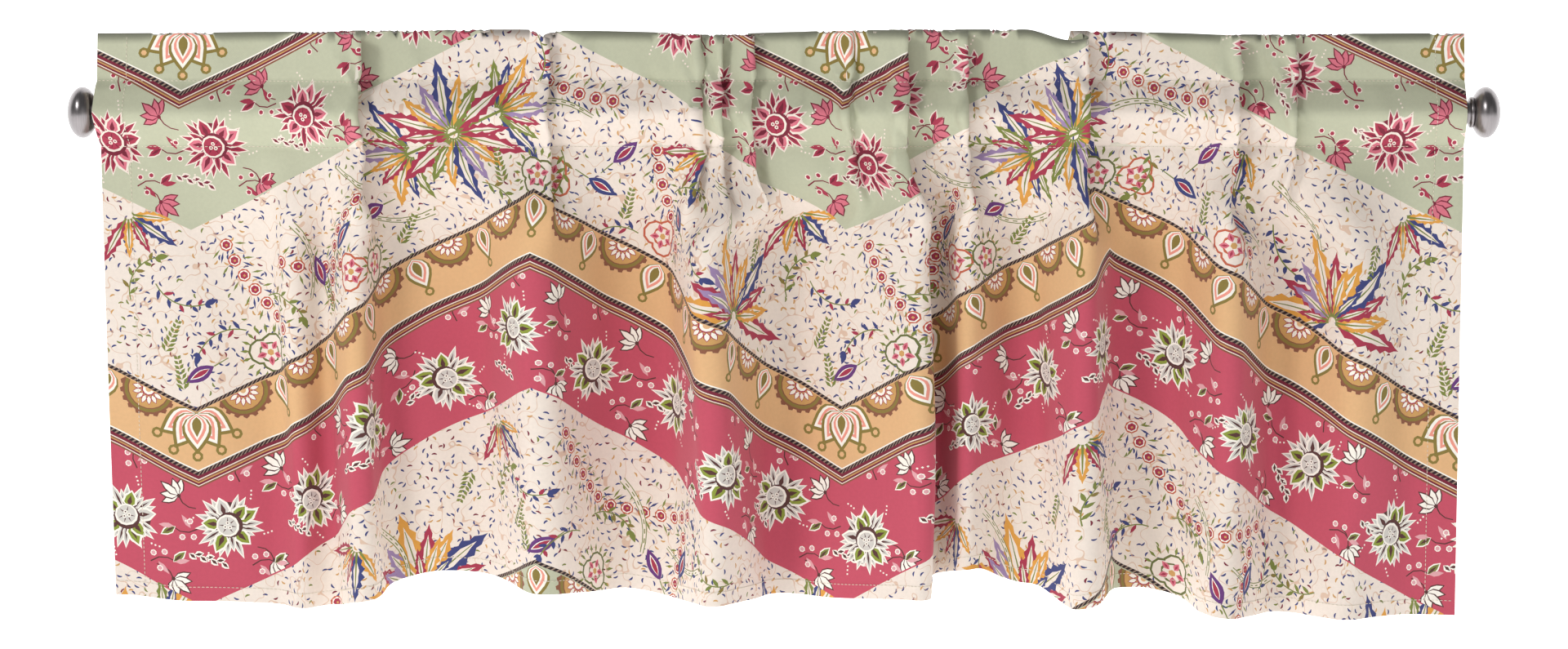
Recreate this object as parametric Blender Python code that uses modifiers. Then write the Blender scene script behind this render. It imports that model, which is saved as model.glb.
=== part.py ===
"""Window valance gathered on a round rod, with a knob finial at each end.

One sheet of printed cotton is folded over at the top and stitched across twice. The
stitches leave a standing header and, below it, a pocket that the rod runs through.
Metres, +Z up. The cloth faces -Y, and the origin is the middle of the rod's axis.
"""
import math
from collections import namedtuple

import bmesh
import bpy
import numpy as np

COLLECTION = "window valance"

# Rod and finials, all turned about X
ROD_DIAMETER = 0.019
ROD_HALF_LENGTH = 0.5390
FINIAL_GAP = 0.0003
NECK_DIAMETER = 0.0185
NECK_LENGTH = 0.0022
COLLAR_DIAMETER = 0.0250
COLLAR_LENGTH = 0.0030
KNOB_DIAMETER = 0.0405
KNOB_LENGTH = 0.0232
TURNED_STEPS = 32
COLLAR_STEPS = 6
KNOB_STEPS = 14

# Cloth laid flat: 60 in wide and 18 in high, with a 1.5 in header and a 2 in pocket
FLAT_WIDTH = 1.524
CLOTH_THICKNESS = 0.0012
HEADER_HEIGHT = 0.039
POCKET_HEIGHT = 0.052
SIDE_HEM = 0.025
BOTTOM_HEM = 0.013

# Cloth as it hangs
HEADER_STITCH_Z = 0.025
TOP_Z = HEADER_STITCH_Z + HEADER_HEIGHT
POCKET_STITCH_Z = HEADER_STITCH_Z - POCKET_HEIGHT
HEM_Z = -0.397
POCKET_CLEARANCE = 0.0007
POCKET_FLARE = 0.0035
FLARE_LENGTH = 0.030
BULGE_REACH = 0.020
SEAM_FADE = 0.012

# How the gathers over the rod open out into the hanging folds, and how far along the cloth
# each curve is drawn out
GATHER_FADE = 0.085
GATHERED_SLOPE = 0.38
DRAPED_SLOPE = -0.20
LAP_SPREAD = 0.110
RIDGE_SPREAD = 0.009
RIDGE_SHARE = 0.6
BACK_REACH = 0.060
BACK_SPREAD = 0.030
DRAPE_SPREAD = 0.200

# Where the side edges hang, from the middle of the rod
Edge = namedtuple("Edge", "z left right")
SIDE_EDGES = [
    Edge(z=0.064, left=-0.5410, right=0.5362),
    Edge(z=0.026, left=-0.5425, right=0.5375),
    Edge(z=0.000, left=-0.5446, right=0.5382),
    Edge(z=-0.027, left=-0.5405, right=0.5380),
    Edge(z=-0.230, left=-0.5385, right=0.5385),
    Edge(z=-0.400, left=-0.5360, right=0.5390),
]

# Folds along the flat cloth. Each stands forward by its depth, between a rising side and
# a falling side that turn away by the angles given. Past 90 degrees the fold laps over.
Fold = namedtuple("Fold", "at depth rise fall bend")
GATHERS = [
    Fold(at=0.222, depth=0.0200, rise=17, fall=154, bend=0.009),
    Fold(at=0.448, depth=0.0110, rise=31, fall=134, bend=0.008),
    Fold(at=0.596, depth=0.0110, rise=35, fall=134, bend=0.007),
    Fold(at=0.642, depth=0.0115, rise=35, fall=136, bend=0.007),
    Fold(at=0.697, depth=0.0110, rise=35, fall=134, bend=0.007),
    Fold(at=0.800, depth=0.0090, rise=44, fall=102, bend=0.008),
    Fold(at=0.859, depth=0.0180, rise=24, fall=148, bend=0.008),
    Fold(at=0.967, depth=0.0140, rise=30, fall=142, bend=0.008),
    Fold(at=1.107, depth=0.0165, rise=24, fall=148, bend=0.008),
    Fold(at=1.284, depth=0.0145, rise=26, fall=144, bend=0.008),
    Fold(at=1.371, depth=0.0110, rise=32, fall=116, bend=0.008),
]
DRAPES = [
    Fold(at=0.160, depth=0.024, rise=54, fall=50, bend=0.026),
    Fold(at=0.240, depth=0.044, rise=60, fall=72, bend=0.026),
    Fold(at=0.438, depth=0.060, rise=50, fall=48, bend=0.044),
    Fold(at=0.645, depth=0.077, rise=64, fall=58, bend=0.034),
    Fold(at=0.873, depth=0.052, rise=30, fall=90, bend=0.026),
    Fold(at=0.974, depth=0.037, rise=62, fall=46, bend=0.026),
    Fold(at=1.114, depth=0.056, rise=58, fall=62, bend=0.030),
    Fold(at=1.285, depth=0.052, rise=56, fall=54, bend=0.030),
    Fold(at=1.422, depth=0.040, rise=42, fall=40, bend=0.036),
]

# How far the two long edges stray from level, along the flat cloth
Stray = namedtuple("Stray", "at rise")
HEM_LINE = [
    Stray(at=0.000, rise=0.010),
    Stray(at=0.060, rise=0.004),
    Stray(at=0.180, rise=-0.001),
    Stray(at=0.255, rise=0.011),
    Stray(at=0.330, rise=0.026),
    Stray(at=0.440, rise=0.016),
    Stray(at=0.520, rise=0.010),
    Stray(at=0.570, rise=0.003),
    Stray(at=0.660, rise=0.008),
    Stray(at=0.770, rise=0.004),
    Stray(at=0.870, rise=0.010),
    Stray(at=0.985, rise=0.032),
    Stray(at=1.040, rise=0.015),
    Stray(at=1.100, rise=0.003),
    Stray(at=1.150, rise=0.013),
    Stray(at=1.190, rise=0.011),
    Stray(at=1.260, rise=-0.003),
    Stray(at=1.340, rise=-0.008),
    Stray(at=1.524, rise=-0.007),
]
TOP_LINE = [
    Stray(at=0.000, rise=-0.002),
    Stray(at=0.240, rise=0.000),
    Stray(at=0.430, rise=0.001),
    Stray(at=0.452, rise=-0.006),
    Stray(at=0.480, rise=0.000),
    Stray(at=0.650, rise=-0.003),
    Stray(at=0.850, rise=0.001),
    Stray(at=1.050, rise=0.001),
    Stray(at=1.092, rise=-0.007),
    Stray(at=1.130, rise=0.000),
    Stray(at=1.300, rise=-0.003),
    Stray(at=1.524, rise=-0.002),
]

# Mesh density
FLAT_STEP = 0.0005
COLUMNS = 120
HEADER_ROWS = 1
POCKET_HEIGHTS = (0.0145, 0.0050, 0.0, -0.0050, -0.0155)
POCKET_ROWS = len(POCKET_HEIGHTS) + 1
FADE_ROWS = 5
HANG_ROWS = 3
HEM_STEP = 0.0008


def clear_scene():
    for existing in list(bpy.data.objects):
        bpy.data.objects.remove(existing, do_unlink=True)


def make_collection():
    collection = bpy.data.collections.new(COLLECTION)
    bpy.context.scene.collection.children.link(collection)
    return collection


def make_material(name, color, roughness, metallic):
    material = bpy.data.materials.new(name)
    material.use_nodes = True
    shader = material.node_tree.nodes["Principled BSDF"]
    shader.inputs["Base Color"].default_value = (*color, 1.0)
    shader.inputs["Roughness"].default_value = roughness
    shader.inputs["Metallic"].default_value = metallic
    return material


def add_object(collection, name, mesh, material):
    made = bpy.data.objects.new(name, mesh)
    made.data.materials.append(material)
    collection.objects.link(made)
    return made


def ease(value):
    """Rise from 0 to 1 with a soft start and end."""
    held = np.clip(value, 0.0, 1.0)
    return held * held * (3.0 - 2.0 * held)


def plateau(flat, start, end, bend):
    """Be 1 between start and end, with both corners bent over a length."""
    return ease((flat - start) / bend + 0.5) - ease((flat - end) / bend + 0.5)


def walk(flat, values):
    """Running integral along the flat cloth, starting at 0."""
    steps = 0.5 * (values[1:] + values[:-1]) * np.diff(flat)
    return np.concatenate([[0.0], np.cumsum(steps)])


def fold_turn(flat, fold):
    """Heading along one fold, its rising side long enough to end where it began."""
    rise = math.radians(fold.rise)
    fall = math.radians(fold.fall)
    end = fold.at + fold.depth / math.sin(fall)
    falling = fall * plateau(flat, fold.at, end, fold.bend)
    short, long = 0.0, 3.0 * fold.depth / math.sin(rise)
    for _ in range(30):
        middle = 0.5 * (short + long)
        turn = falling - rise * plateau(flat, fold.at - middle, fold.at, fold.bend)
        if walk(flat, np.sin(turn))[-1] > 0.0:
            short = middle
        else:
            long = middle
    return turn


def headings(flat, folds):
    """Direction of the cloth seen from above, in radians from +X toward +Y."""
    return sum(fold_turn(flat, fold) for fold in folds)


def spread(values, reach):
    """Average over a length on each side, with both ends kept in place."""
    count = int(reach / FLAT_STEP)
    padded = np.pad(values, count, mode="reflect", reflect_type="odd")
    weights = np.hanning(2 * count + 1)
    return np.convolve(padded, weights / weights.sum(), mode="valid")


def furthest_back(values, reach):
    """Largest value within a length on each side."""
    count = int(reach / FLAT_STEP)
    padded = np.pad(values, count, mode="edge")
    windows = np.lib.stride_tricks.sliding_window_view(padded, 2 * count + 1)
    return windows.max(axis=1)


def edge_at(height, side):
    rows = sorted(SIDE_EDGES, key=lambda row: row.z)
    return float(np.interp(height, [row.z for row in rows], [getattr(row, side) for row in rows]))


def stray_at(flat, rows):
    """Smooth line through the rows, eased between neighbours."""
    places = np.array([row.at for row in rows])
    rises = np.array([row.rise for row in rows])
    index = np.clip(np.searchsorted(places, flat, side="right") - 1, 0, len(rows) - 2)
    share = ease((flat - places[index]) / (places[index + 1] - places[index]))
    return rises[index] + share * (rises[index + 1] - rises[index])


class Section:
    """The cloth's line seen from above at one height. Where two plies are gathered, its
    lapped folds are drawn out into upright ridges, so that the plies can part at the rod."""

    def __init__(self, flat, gathers, drapes, height):
        fade = float(ease((POCKET_STITCH_Z - height) / GATHER_FADE))
        turn = (1.0 - fade) * gathers + fade * drapes
        left = edge_at(height, "left")
        width = edge_at(height, "right") - left
        turn = turn * self.fullness(flat, turn, width)
        across = walk(flat, self.unlapped(np.cos(turn), fade))
        self.x = left + across * width / across[-1]
        depth = walk(flat, np.sin(turn))
        gathered = depth - spread(furthest_back(depth, BACK_REACH), BACK_SPREAD)
        gathered = RIDGE_SHARE * spread(gathered - gathered.max(), RIDGE_SPREAD)
        draped = depth - spread(depth, DRAPE_SPREAD)
        self.y = (1.0 - fade) * gathered + fade * draped
        self.turn = np.arctan2(np.gradient(self.y, flat), np.gradient(self.x, flat))

    @staticmethod
    def unlapped(slope, fade):
        """Slope that never turns back, with what it gains taken from the cloth around it."""
        least = (1.0 - fade) * GATHERED_SLOPE + fade * DRAPED_SLOPE
        held = np.maximum(slope, least)
        gain = spread(held - slope, LAP_SPREAD) / spread(np.abs(held), LAP_SPREAD)
        return spread(held * (1.0 - gain), RIDGE_SPREAD)

    @staticmethod
    def fullness(flat, turn, width):
        """Share of every turn that leaves the cloth as wide as it hangs."""
        low, high = 0.2, 1.8
        for _ in range(40):
            middle = 0.5 * (low + high)
            if walk(flat, np.cos(middle * turn))[-1] > width:
                low = middle
            else:
                high = middle
        return 0.5 * (low + high)


def column_places(flat, gathers, drapes, count):
    """Places along the flat cloth, closer together where it turns."""
    bends = np.abs(np.gradient(gathers, flat)) + 0.5 * np.abs(np.gradient(drapes, flat))
    effort = walk(flat, bends + 20.0)
    return np.interp(np.linspace(0.0, effort[-1], count), effort, flat)


def pocket_half_width(height, radius):
    """Half the pocket's width: straight from each stitch line, round over the rod."""
    reach = HEADER_STITCH_Z if height > 0.0 else -POCKET_STITCH_Z
    touch = radius * radius / reach
    if abs(height) < touch:
        return math.sqrt(radius * radius - height * height)
    half = CLOTH_THICKNESS / 2
    wide = math.sqrt(radius * radius - touch * touch)
    return half + (wide - half) * (reach - abs(height)) / (reach - touch)


def row_heights():
    """Heights of the header, pocket and body rows, before the edges stray."""
    header = list(np.linspace(TOP_Z, HEADER_STITCH_Z, HEADER_ROWS + 1))
    pocket = [HEADER_STITCH_Z, *POCKET_HEIGHTS, POCKET_STITCH_Z]
    loose_z = POCKET_STITCH_Z - GATHER_FADE
    hem_top = HEM_Z + BOTTOM_HEM
    fading = list(np.linspace(POCKET_STITCH_Z, loose_z, FADE_ROWS + 1))
    hanging = list(np.linspace(loose_z, hem_top, HANG_ROWS + 1))
    return header[:-1], pocket, fading[1:] + hanging[1:] + [hem_top - HEM_STEP, HEM_Z]


def lifted(height, places):
    """Heights along one row, with the share of each long edge's stray."""
    if height > HEADER_STITCH_Z:
        share = (height - HEADER_STITCH_Z) / (TOP_Z - HEADER_STITCH_Z)
        return height + share * stray_at(places, TOP_LINE)
    share = max(0.0, (POCKET_STITCH_Z - height) / (POCKET_STITCH_Z - HEM_Z))
    return height + share * stray_at(places, HEM_LINE)


def cloth_rows():
    """Front, back and pocket faces of the cloth, one row of points a height."""
    flat = np.arange(0.0, FLAT_WIDTH + FLAT_STEP / 2, FLAT_STEP)
    gathers = headings(flat, GATHERS)
    drapes = headings(flat, DRAPES)
    places = column_places(flat, gathers, drapes, COLUMNS)
    header, pocket, body = row_heights()
    hemmed = np.where((places < SIDE_HEM) | (places > FLAT_WIDTH - SIDE_HEM), 1.0, 0.0)
    flare = POCKET_FLARE * ease(1.0 - places / FLARE_LENGTH)
    fronts, backs, pocket_fronts, pocket_backs = [], [], [], []
    for height in header + pocket + body:
        section = Section(flat, gathers, drapes, height)
        turn = np.interp(places, flat, section.turn)
        x = np.interp(places, flat, section.x)
        y = np.interp(places, flat, section.y)
        z = lifted(height, places)
        ahead = np.stack([np.sin(turn), -np.cos(turn), np.zeros_like(turn)], axis=1)
        middle = np.stack([x, y, z], axis=1)
        thick = CLOTH_THICKNESS
        if height >= HEADER_STITCH_Z or height == POCKET_STITCH_Z:
            fronts.append(middle + ahead * thick)
            backs.append(middle - ahead * thick)
        elif height > POCKET_STITCH_Z:
            radius = ROD_DIAMETER / 2 + POCKET_CLEARANCE + thick / 2
            half = np.array([pocket_half_width(height, radius + extra) for extra in flare])
            bulge = furthest_back(-section.y, BULGE_REACH)
            behind = np.interp(places, flat, spread(bulge, BULGE_REACH))
            behind *= ease((0.5 * POCKET_HEIGHT - abs(height)) / SEAM_FADE)
            front = middle - np.outer(half, (0.0, 1.0, 0.0))
            rear = middle + np.outer(half + behind, (0.0, 1.0, 0.0))
            fronts.append(front + ahead * thick / 2)
            pocket_fronts.append(front - ahead * thick / 2)
            pocket_backs.append(rear + ahead * thick / 2)
            backs.append(rear - ahead * thick / 2)
        else:
            doubled = hemmed if height > HEM_Z + BOTTOM_HEM - HEM_STEP / 2 else np.ones_like(hemmed)
            fronts.append(middle + ahead * thick / 2)
            backs.append(middle - ahead * (thick / 2 + thick * doubled)[:, None])
        if height in (HEADER_STITCH_Z, POCKET_STITCH_Z):
            pocket_fronts.append(middle)
            pocket_backs.append(middle)
    return fronts, backs, pocket_fronts, pocket_backs


def strip(mesh, one, other):
    """Faces between two rows of vertices of the same length."""
    for index in range(len(one) - 1):
        corners = [one[index], one[index + 1], other[index + 1], other[index]]
        distinct = list(dict.fromkeys(corners))
        if len(distinct) > 2:
            mesh.faces.new(distinct)


def close_end(mesh, front, back, inner_front, inner_back):
    """Faces over one side edge, around the open end of the pocket."""
    first = HEADER_ROWS
    last = HEADER_ROWS + POCKET_ROWS
    strip(mesh, front[:first], back[:first])
    mesh.faces.new([front[first - 1], front[first], inner_front[0], back[first], back[first - 1]])
    strip(mesh, front[first:last + 1], inner_front)
    strip(mesh, inner_back, back[first:last + 1])
    mesh.faces.new([front[last], front[last + 1], back[last + 1], back[last], inner_front[-1]])
    strip(mesh, front[last + 1:], back[last + 1:])


def cloth_mesh():
    fronts, backs, pocket_fronts, pocket_backs = cloth_rows()
    mesh = bmesh.new()
    front = [[mesh.verts.new(point) for point in row] for row in fronts]
    back = [[mesh.verts.new(point) for point in row] for row in backs]
    inner_front = [[mesh.verts.new(point) for point in row] for row in pocket_fronts]
    inner_back = [inner_front[0]]
    inner_back += [[mesh.verts.new(point) for point in row] for row in pocket_backs[1:-1]]
    inner_back.append(inner_front[-1])
    for layer in (front, back, inner_front, inner_back):
        for upper, lower in zip(layer, layer[1:]):
            strip(mesh, upper, lower)
    strip(mesh, front[0], back[0])
    strip(mesh, front[-1], back[-1])
    for end in (0, -1):
        close_end(mesh, *[[row[end] for row in layer]
                          for layer in (front, back, inner_front, inner_back)])
    bmesh.ops.recalc_face_normals(mesh, faces=mesh.faces[:])
    made = bpy.data.meshes.new("valance cloth")
    mesh.to_mesh(made)
    mesh.free()
    return made


def make_rod(collection, material):
    bpy.ops.mesh.primitive_cylinder_add(
        vertices=TURNED_STEPS, radius=ROD_DIAMETER / 2, depth=2 * ROD_HALF_LENGTH,
        rotation=(0.0, math.pi / 2, 0.0))
    rod = bpy.context.object
    for holder in list(rod.users_collection):
        holder.objects.unlink(rod)
    collection.objects.link(rod)
    rod.name = "rod"
    rod.data.materials.append(material)
    return rod


def finial_profile():
    """Half outline of the right finial, as (distance from the axis, place along it)."""
    neck = NECK_DIAMETER / 2
    collar = COLLAR_DIAMETER / 2
    round_over = COLLAR_LENGTH / 2
    knob = KNOB_DIAMETER / 2
    collar_start = NECK_LENGTH
    knob_start = collar_start + COLLAR_LENGTH
    points = [(0.0, 0.0), (neck, 0.0), (neck, collar_start)]
    for step in range(1, COLLAR_STEPS):
        turn = math.pi * step / COLLAR_STEPS
        points.append((collar - round_over + round_over * math.sin(turn),
                       collar_start + round_over - round_over * math.cos(turn)))
    waist = collar - round_over
    start_turn = math.asin(waist / knob)
    half_knob = KNOB_LENGTH / 2
    centre = knob_start + half_knob * math.cos(start_turn)
    for step in range(KNOB_STEPS + 1):
        turn = start_turn + (math.pi - start_turn) * step / KNOB_STEPS
        points.append((knob * math.sin(turn), centre - half_knob * math.cos(turn)))
    points[-1] = (0.0, points[-1][1])
    return points


def make_finial(collection, material, name, side):
    points = [(radius, 0.0, along) for radius, along in reversed(finial_profile())]
    mesh = bpy.data.meshes.new(name)
    mesh.from_pydata(points, [(i, i + 1) for i in range(len(points) - 1)], [])
    finial = add_object(collection, name, mesh, material)
    screw = finial.modifiers.new("turn", "SCREW")
    screw.steps = TURNED_STEPS
    screw.render_steps = TURNED_STEPS
    screw.use_merge_vertices = True
    screw.merge_threshold = 0.00001
    finial.rotation_euler = (0.0, side * math.pi / 2, 0.0)
    finial.location = (side * (ROD_HALF_LENGTH + FINIAL_GAP), 0.0, 0.0)
    return finial


def main():
    clear_scene()
    collection = make_collection()
    cloth = make_material("printed cotton", (0.75, 0.60, 0.45), 0.85, 0.0)
    metal = make_material("brushed nickel", (0.35, 0.32, 0.34), 0.30, 1.0)
    add_object(collection, "valance", cloth_mesh(), cloth)
    make_rod(collection, metal)
    make_finial(collection, metal, "finial_left", -1)
    make_finial(collection, metal, "finial_right", 1)


main()
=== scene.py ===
# %% [markdown]
# # A rod-pocket window valance
# The valance is one cut of printed cotton. It is folded over at the top and stitched across
# twice, so that a header stands above a pocket, and the pocket is gathered on a round rod.
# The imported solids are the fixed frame. This file gives them their looks: a thin sheet on the
# same folds, with the print cut into its mesh, the sewing, and the metal of the rod.

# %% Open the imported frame
import cmath
import math
from collections import defaultdict, namedtuple

import bpy
import numpy as np
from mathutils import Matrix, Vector
from mathutils.bvhtree import BVHTree
from mathutils.geometry import delaunay_2d_cdt


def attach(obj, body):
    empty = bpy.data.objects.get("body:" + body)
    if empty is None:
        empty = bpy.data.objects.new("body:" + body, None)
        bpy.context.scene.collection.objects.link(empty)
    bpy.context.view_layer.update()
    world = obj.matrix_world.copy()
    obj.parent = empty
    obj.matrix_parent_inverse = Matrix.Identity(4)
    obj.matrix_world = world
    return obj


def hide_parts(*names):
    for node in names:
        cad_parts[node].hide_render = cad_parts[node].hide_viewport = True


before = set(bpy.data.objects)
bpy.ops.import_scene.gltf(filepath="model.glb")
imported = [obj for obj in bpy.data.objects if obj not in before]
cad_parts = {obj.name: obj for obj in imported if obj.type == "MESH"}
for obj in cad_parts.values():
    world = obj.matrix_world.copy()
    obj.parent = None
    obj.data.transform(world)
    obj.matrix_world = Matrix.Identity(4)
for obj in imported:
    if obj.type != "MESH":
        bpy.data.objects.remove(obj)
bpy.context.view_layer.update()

# %% [markdown]
# ## How the cloth hangs
# Seen from above, a gathered cloth is one long line that turns back and forth. The line's
# length never changes, so each fold is described by where it lies on the flat cloth, how far
# it stands forward and how steeply its two sides turn away. Adding up the turns gives the
# line. Two such lines are used: tight gathers over the rod, and wide soft folds below it.
# Between them the turns are blended, as the cloth itself opens out below its stitches.

# %% Sizes of the cloth, in metres
FLAT_WIDTH = 1.524
HEADER_STITCH_Z = 0.025
TOP_Z = 0.064
POCKET_STITCH_Z = -0.027
HEM_Z = -0.397
ROD_RADIUS = 0.0095
CLOTH_THICKNESS = 0.0012
BOTTOM_HEM = 0.013
SIDE_HEM = 0.025
POCKET_TOP_V = HEADER_STITCH_Z - HEM_Z
POCKET_LOW_V = POCKET_STITCH_Z - HEM_Z
TOP_V = TOP_Z - HEM_Z

# %% Where the edges hang, and the folds
Edge = namedtuple("Edge", "z left right")
SIDE_EDGES = [
    Edge(z=-0.400, left=-0.5360, right=0.5390),
    Edge(z=-0.230, left=-0.5385, right=0.5385),
    Edge(z=-0.027, left=-0.5405, right=0.5380),
    Edge(z=0.000, left=-0.5446, right=0.5382),
    Edge(z=0.026, left=-0.5425, right=0.5375),
    Edge(z=0.064, left=-0.5410, right=0.5362),
]
Fold = namedtuple("Fold", "at depth rise fall bend")
GATHERS = [
    Fold(at=0.222, depth=0.0200, rise=17, fall=154, bend=0.009),
    Fold(at=0.448, depth=0.0110, rise=31, fall=134, bend=0.008),
    Fold(at=0.596, depth=0.0110, rise=35, fall=134, bend=0.007),
    Fold(at=0.642, depth=0.0115, rise=35, fall=136, bend=0.007),
    Fold(at=0.697, depth=0.0110, rise=35, fall=134, bend=0.007),
    Fold(at=0.800, depth=0.0090, rise=44, fall=102, bend=0.008),
    Fold(at=0.859, depth=0.0180, rise=24, fall=148, bend=0.008),
    Fold(at=0.967, depth=0.0140, rise=30, fall=142, bend=0.008),
    Fold(at=1.107, depth=0.0165, rise=24, fall=148, bend=0.008),
    Fold(at=1.284, depth=0.0145, rise=26, fall=144, bend=0.008),
    Fold(at=1.371, depth=0.0110, rise=32, fall=116, bend=0.008),
]
DRAPES = [
    Fold(at=0.160, depth=0.024, rise=54, fall=50, bend=0.026),
    Fold(at=0.240, depth=0.044, rise=60, fall=72, bend=0.026),
    Fold(at=0.438, depth=0.060, rise=50, fall=48, bend=0.044),
    Fold(at=0.645, depth=0.077, rise=64, fall=58, bend=0.034),
    Fold(at=0.873, depth=0.052, rise=30, fall=90, bend=0.026),
    Fold(at=0.974, depth=0.037, rise=62, fall=46, bend=0.026),
    Fold(at=1.114, depth=0.056, rise=58, fall=62, bend=0.030),
    Fold(at=1.285, depth=0.052, rise=56, fall=54, bend=0.030),
    Fold(at=1.422, depth=0.040, rise=42, fall=40, bend=0.036),
]
print(len(GATHERS), "gathers over the rod,", len(DRAPES), "folds below it")

# %% How far the two long edges stray from level
Stray = namedtuple("Stray", "at rise")
HEM_LINE = [
    Stray(0.000, 0.010), Stray(0.060, 0.004), Stray(0.180, -0.001), Stray(0.255, 0.011),
    Stray(0.330, 0.026), Stray(0.440, 0.016), Stray(0.520, 0.010), Stray(0.570, 0.003),
    Stray(0.660, 0.008), Stray(0.770, 0.004), Stray(0.870, 0.010), Stray(0.985, 0.032),
    Stray(1.040, 0.015), Stray(1.100, 0.003), Stray(1.150, 0.013), Stray(1.190, 0.011),
    Stray(1.260, -0.003), Stray(1.340, -0.008), Stray(1.524, -0.007),
]
TOP_LINE = [
    Stray(0.000, -0.002), Stray(0.240, 0.000), Stray(0.430, 0.001), Stray(0.452, -0.006),
    Stray(0.480, 0.000), Stray(0.650, -0.003), Stray(0.850, 0.001), Stray(1.050, 0.001),
    Stray(1.092, -0.007), Stray(1.130, 0.000), Stray(1.300, -0.003), Stray(1.524, -0.002),
]
print("hem waves over", round(max(row.rise for row in HEM_LINE) * 1000), "mm")

# %% Curves along the flat cloth
FLAT_STEP = 0.0005
flat = np.arange(0.0, FLAT_WIDTH + FLAT_STEP / 2, FLAT_STEP)


def ease(value):
    held = np.clip(value, 0.0, 1.0)
    return held * held * (3.0 - 2.0 * held)


def plateau(start, end, bend):
    return ease((flat - start) / bend + 0.5) - ease((flat - end) / bend + 0.5)


def walk(values):
    steps = 0.5 * (values[1:] + values[:-1]) * FLAT_STEP
    return np.concatenate([[0.0], np.cumsum(steps)])


def spread(values, reach):
    count = int(reach / FLAT_STEP)
    padded = np.pad(values, count, mode="reflect", reflect_type="odd")
    weights = np.hanning(2 * count + 1)
    return np.convolve(padded, weights / weights.sum(), mode="valid")


def furthest_back(values, reach):
    count = int(reach / FLAT_STEP)
    padded = np.pad(values, count, mode="edge")
    return np.lib.stride_tricks.sliding_window_view(padded, 2 * count + 1).max(axis=1)


def stray_at(places, rows):
    at = np.array([row.at for row in rows])
    rise = np.array([row.rise for row in rows])
    index = np.clip(np.searchsorted(at, places, side="right") - 1, 0, len(rows) - 2)
    share = ease((places - at[index]) / (at[index + 1] - at[index]))
    return rise[index] + share * (rise[index + 1] - rise[index])


# %% One fold's turn, and the turns of all the folds
def fold_turn(fold):
    """Heading along one fold, its rising side long enough to end where it began."""
    rise, fall = math.radians(fold.rise), math.radians(fold.fall)
    falling = fall * plateau(fold.at, fold.at + fold.depth / math.sin(fall), fold.bend)
    short, long = 0.0, 3.0 * fold.depth / math.sin(rise)
    for _ in range(30):
        middle = 0.5 * (short + long)
        turn = falling - rise * plateau(fold.at - middle, fold.at, fold.bend)
        if walk(np.sin(turn))[-1] > 0.0:
            short = middle
        else:
            long = middle
    return turn


gathers = sum(fold_turn(fold) for fold in GATHERS)
drapes = sum(fold_turn(fold) for fold in DRAPES)
print("steepest gather turns", round(math.degrees(np.abs(gathers).max())), "degrees")

# %% The cloth's line from above at one height
GATHER_FADE = 0.085
LEAST_GATHERED = -0.55
LEAST_DRAPED = -0.20
LAP_SPREAD = 0.110
SOFTEN = 0.003
RIDGE_SHARE = 0.8


def edge_at(height, side):
    return float(np.interp(height, [row.z for row in SIDE_EDGES],
                           [getattr(row, side) for row in SIDE_EDGES]))


def fullness(turn, width):
    """Share of every turn that leaves the cloth as wide as it hangs."""
    low, high = 0.2, 1.8
    for _ in range(40):
        middle = 0.5 * (low + high)
        if walk(np.cos(middle * turn))[-1] > width:
            low = middle
        else:
            high = middle
    return 0.5 * (low + high)


def section(height):
    """x, y and heading along the flat cloth at one height."""
    fade = float(ease((POCKET_STITCH_Z - height) / GATHER_FADE))
    turn = (1.0 - fade) * gathers + fade * drapes
    left = edge_at(height, "left")
    width = edge_at(height, "right") - left
    turn = turn * fullness(turn, width)
    slope = np.cos(turn)
    held = np.maximum(slope, (1.0 - fade) * LEAST_GATHERED + fade * LEAST_DRAPED)
    gain = spread(held - slope, LAP_SPREAD) / spread(np.abs(held), LAP_SPREAD)
    across = walk(spread(held * (1.0 - gain), SOFTEN))
    x = left + across * width / across[-1]
    depth = walk(np.sin(turn))
    gathered = depth - spread(furthest_back(depth, 0.060), 0.030)
    gathered = RIDGE_SHARE * spread(gathered - gathered.max(), SOFTEN)
    draped = depth - spread(depth, 0.200)
    y = (1.0 - fade) * gathered + fade * draped
    return x, y, np.arctan2(np.gradient(y, flat), np.gradient(x, flat))


print("section at the rod spans", round(np.ptp(section(0.0)[1]) * 1000), "mm front to back")

# %% [markdown]
# ## Puckers and soft creases
# A row of stitches is a little shorter than the cloth it holds, so the cloth puckers along it
# and the puckers die away within a finger's width. Larger creases run down from the pinched
# places. They are small next to the folds, so they are added to the line as a push forwards.

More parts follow.
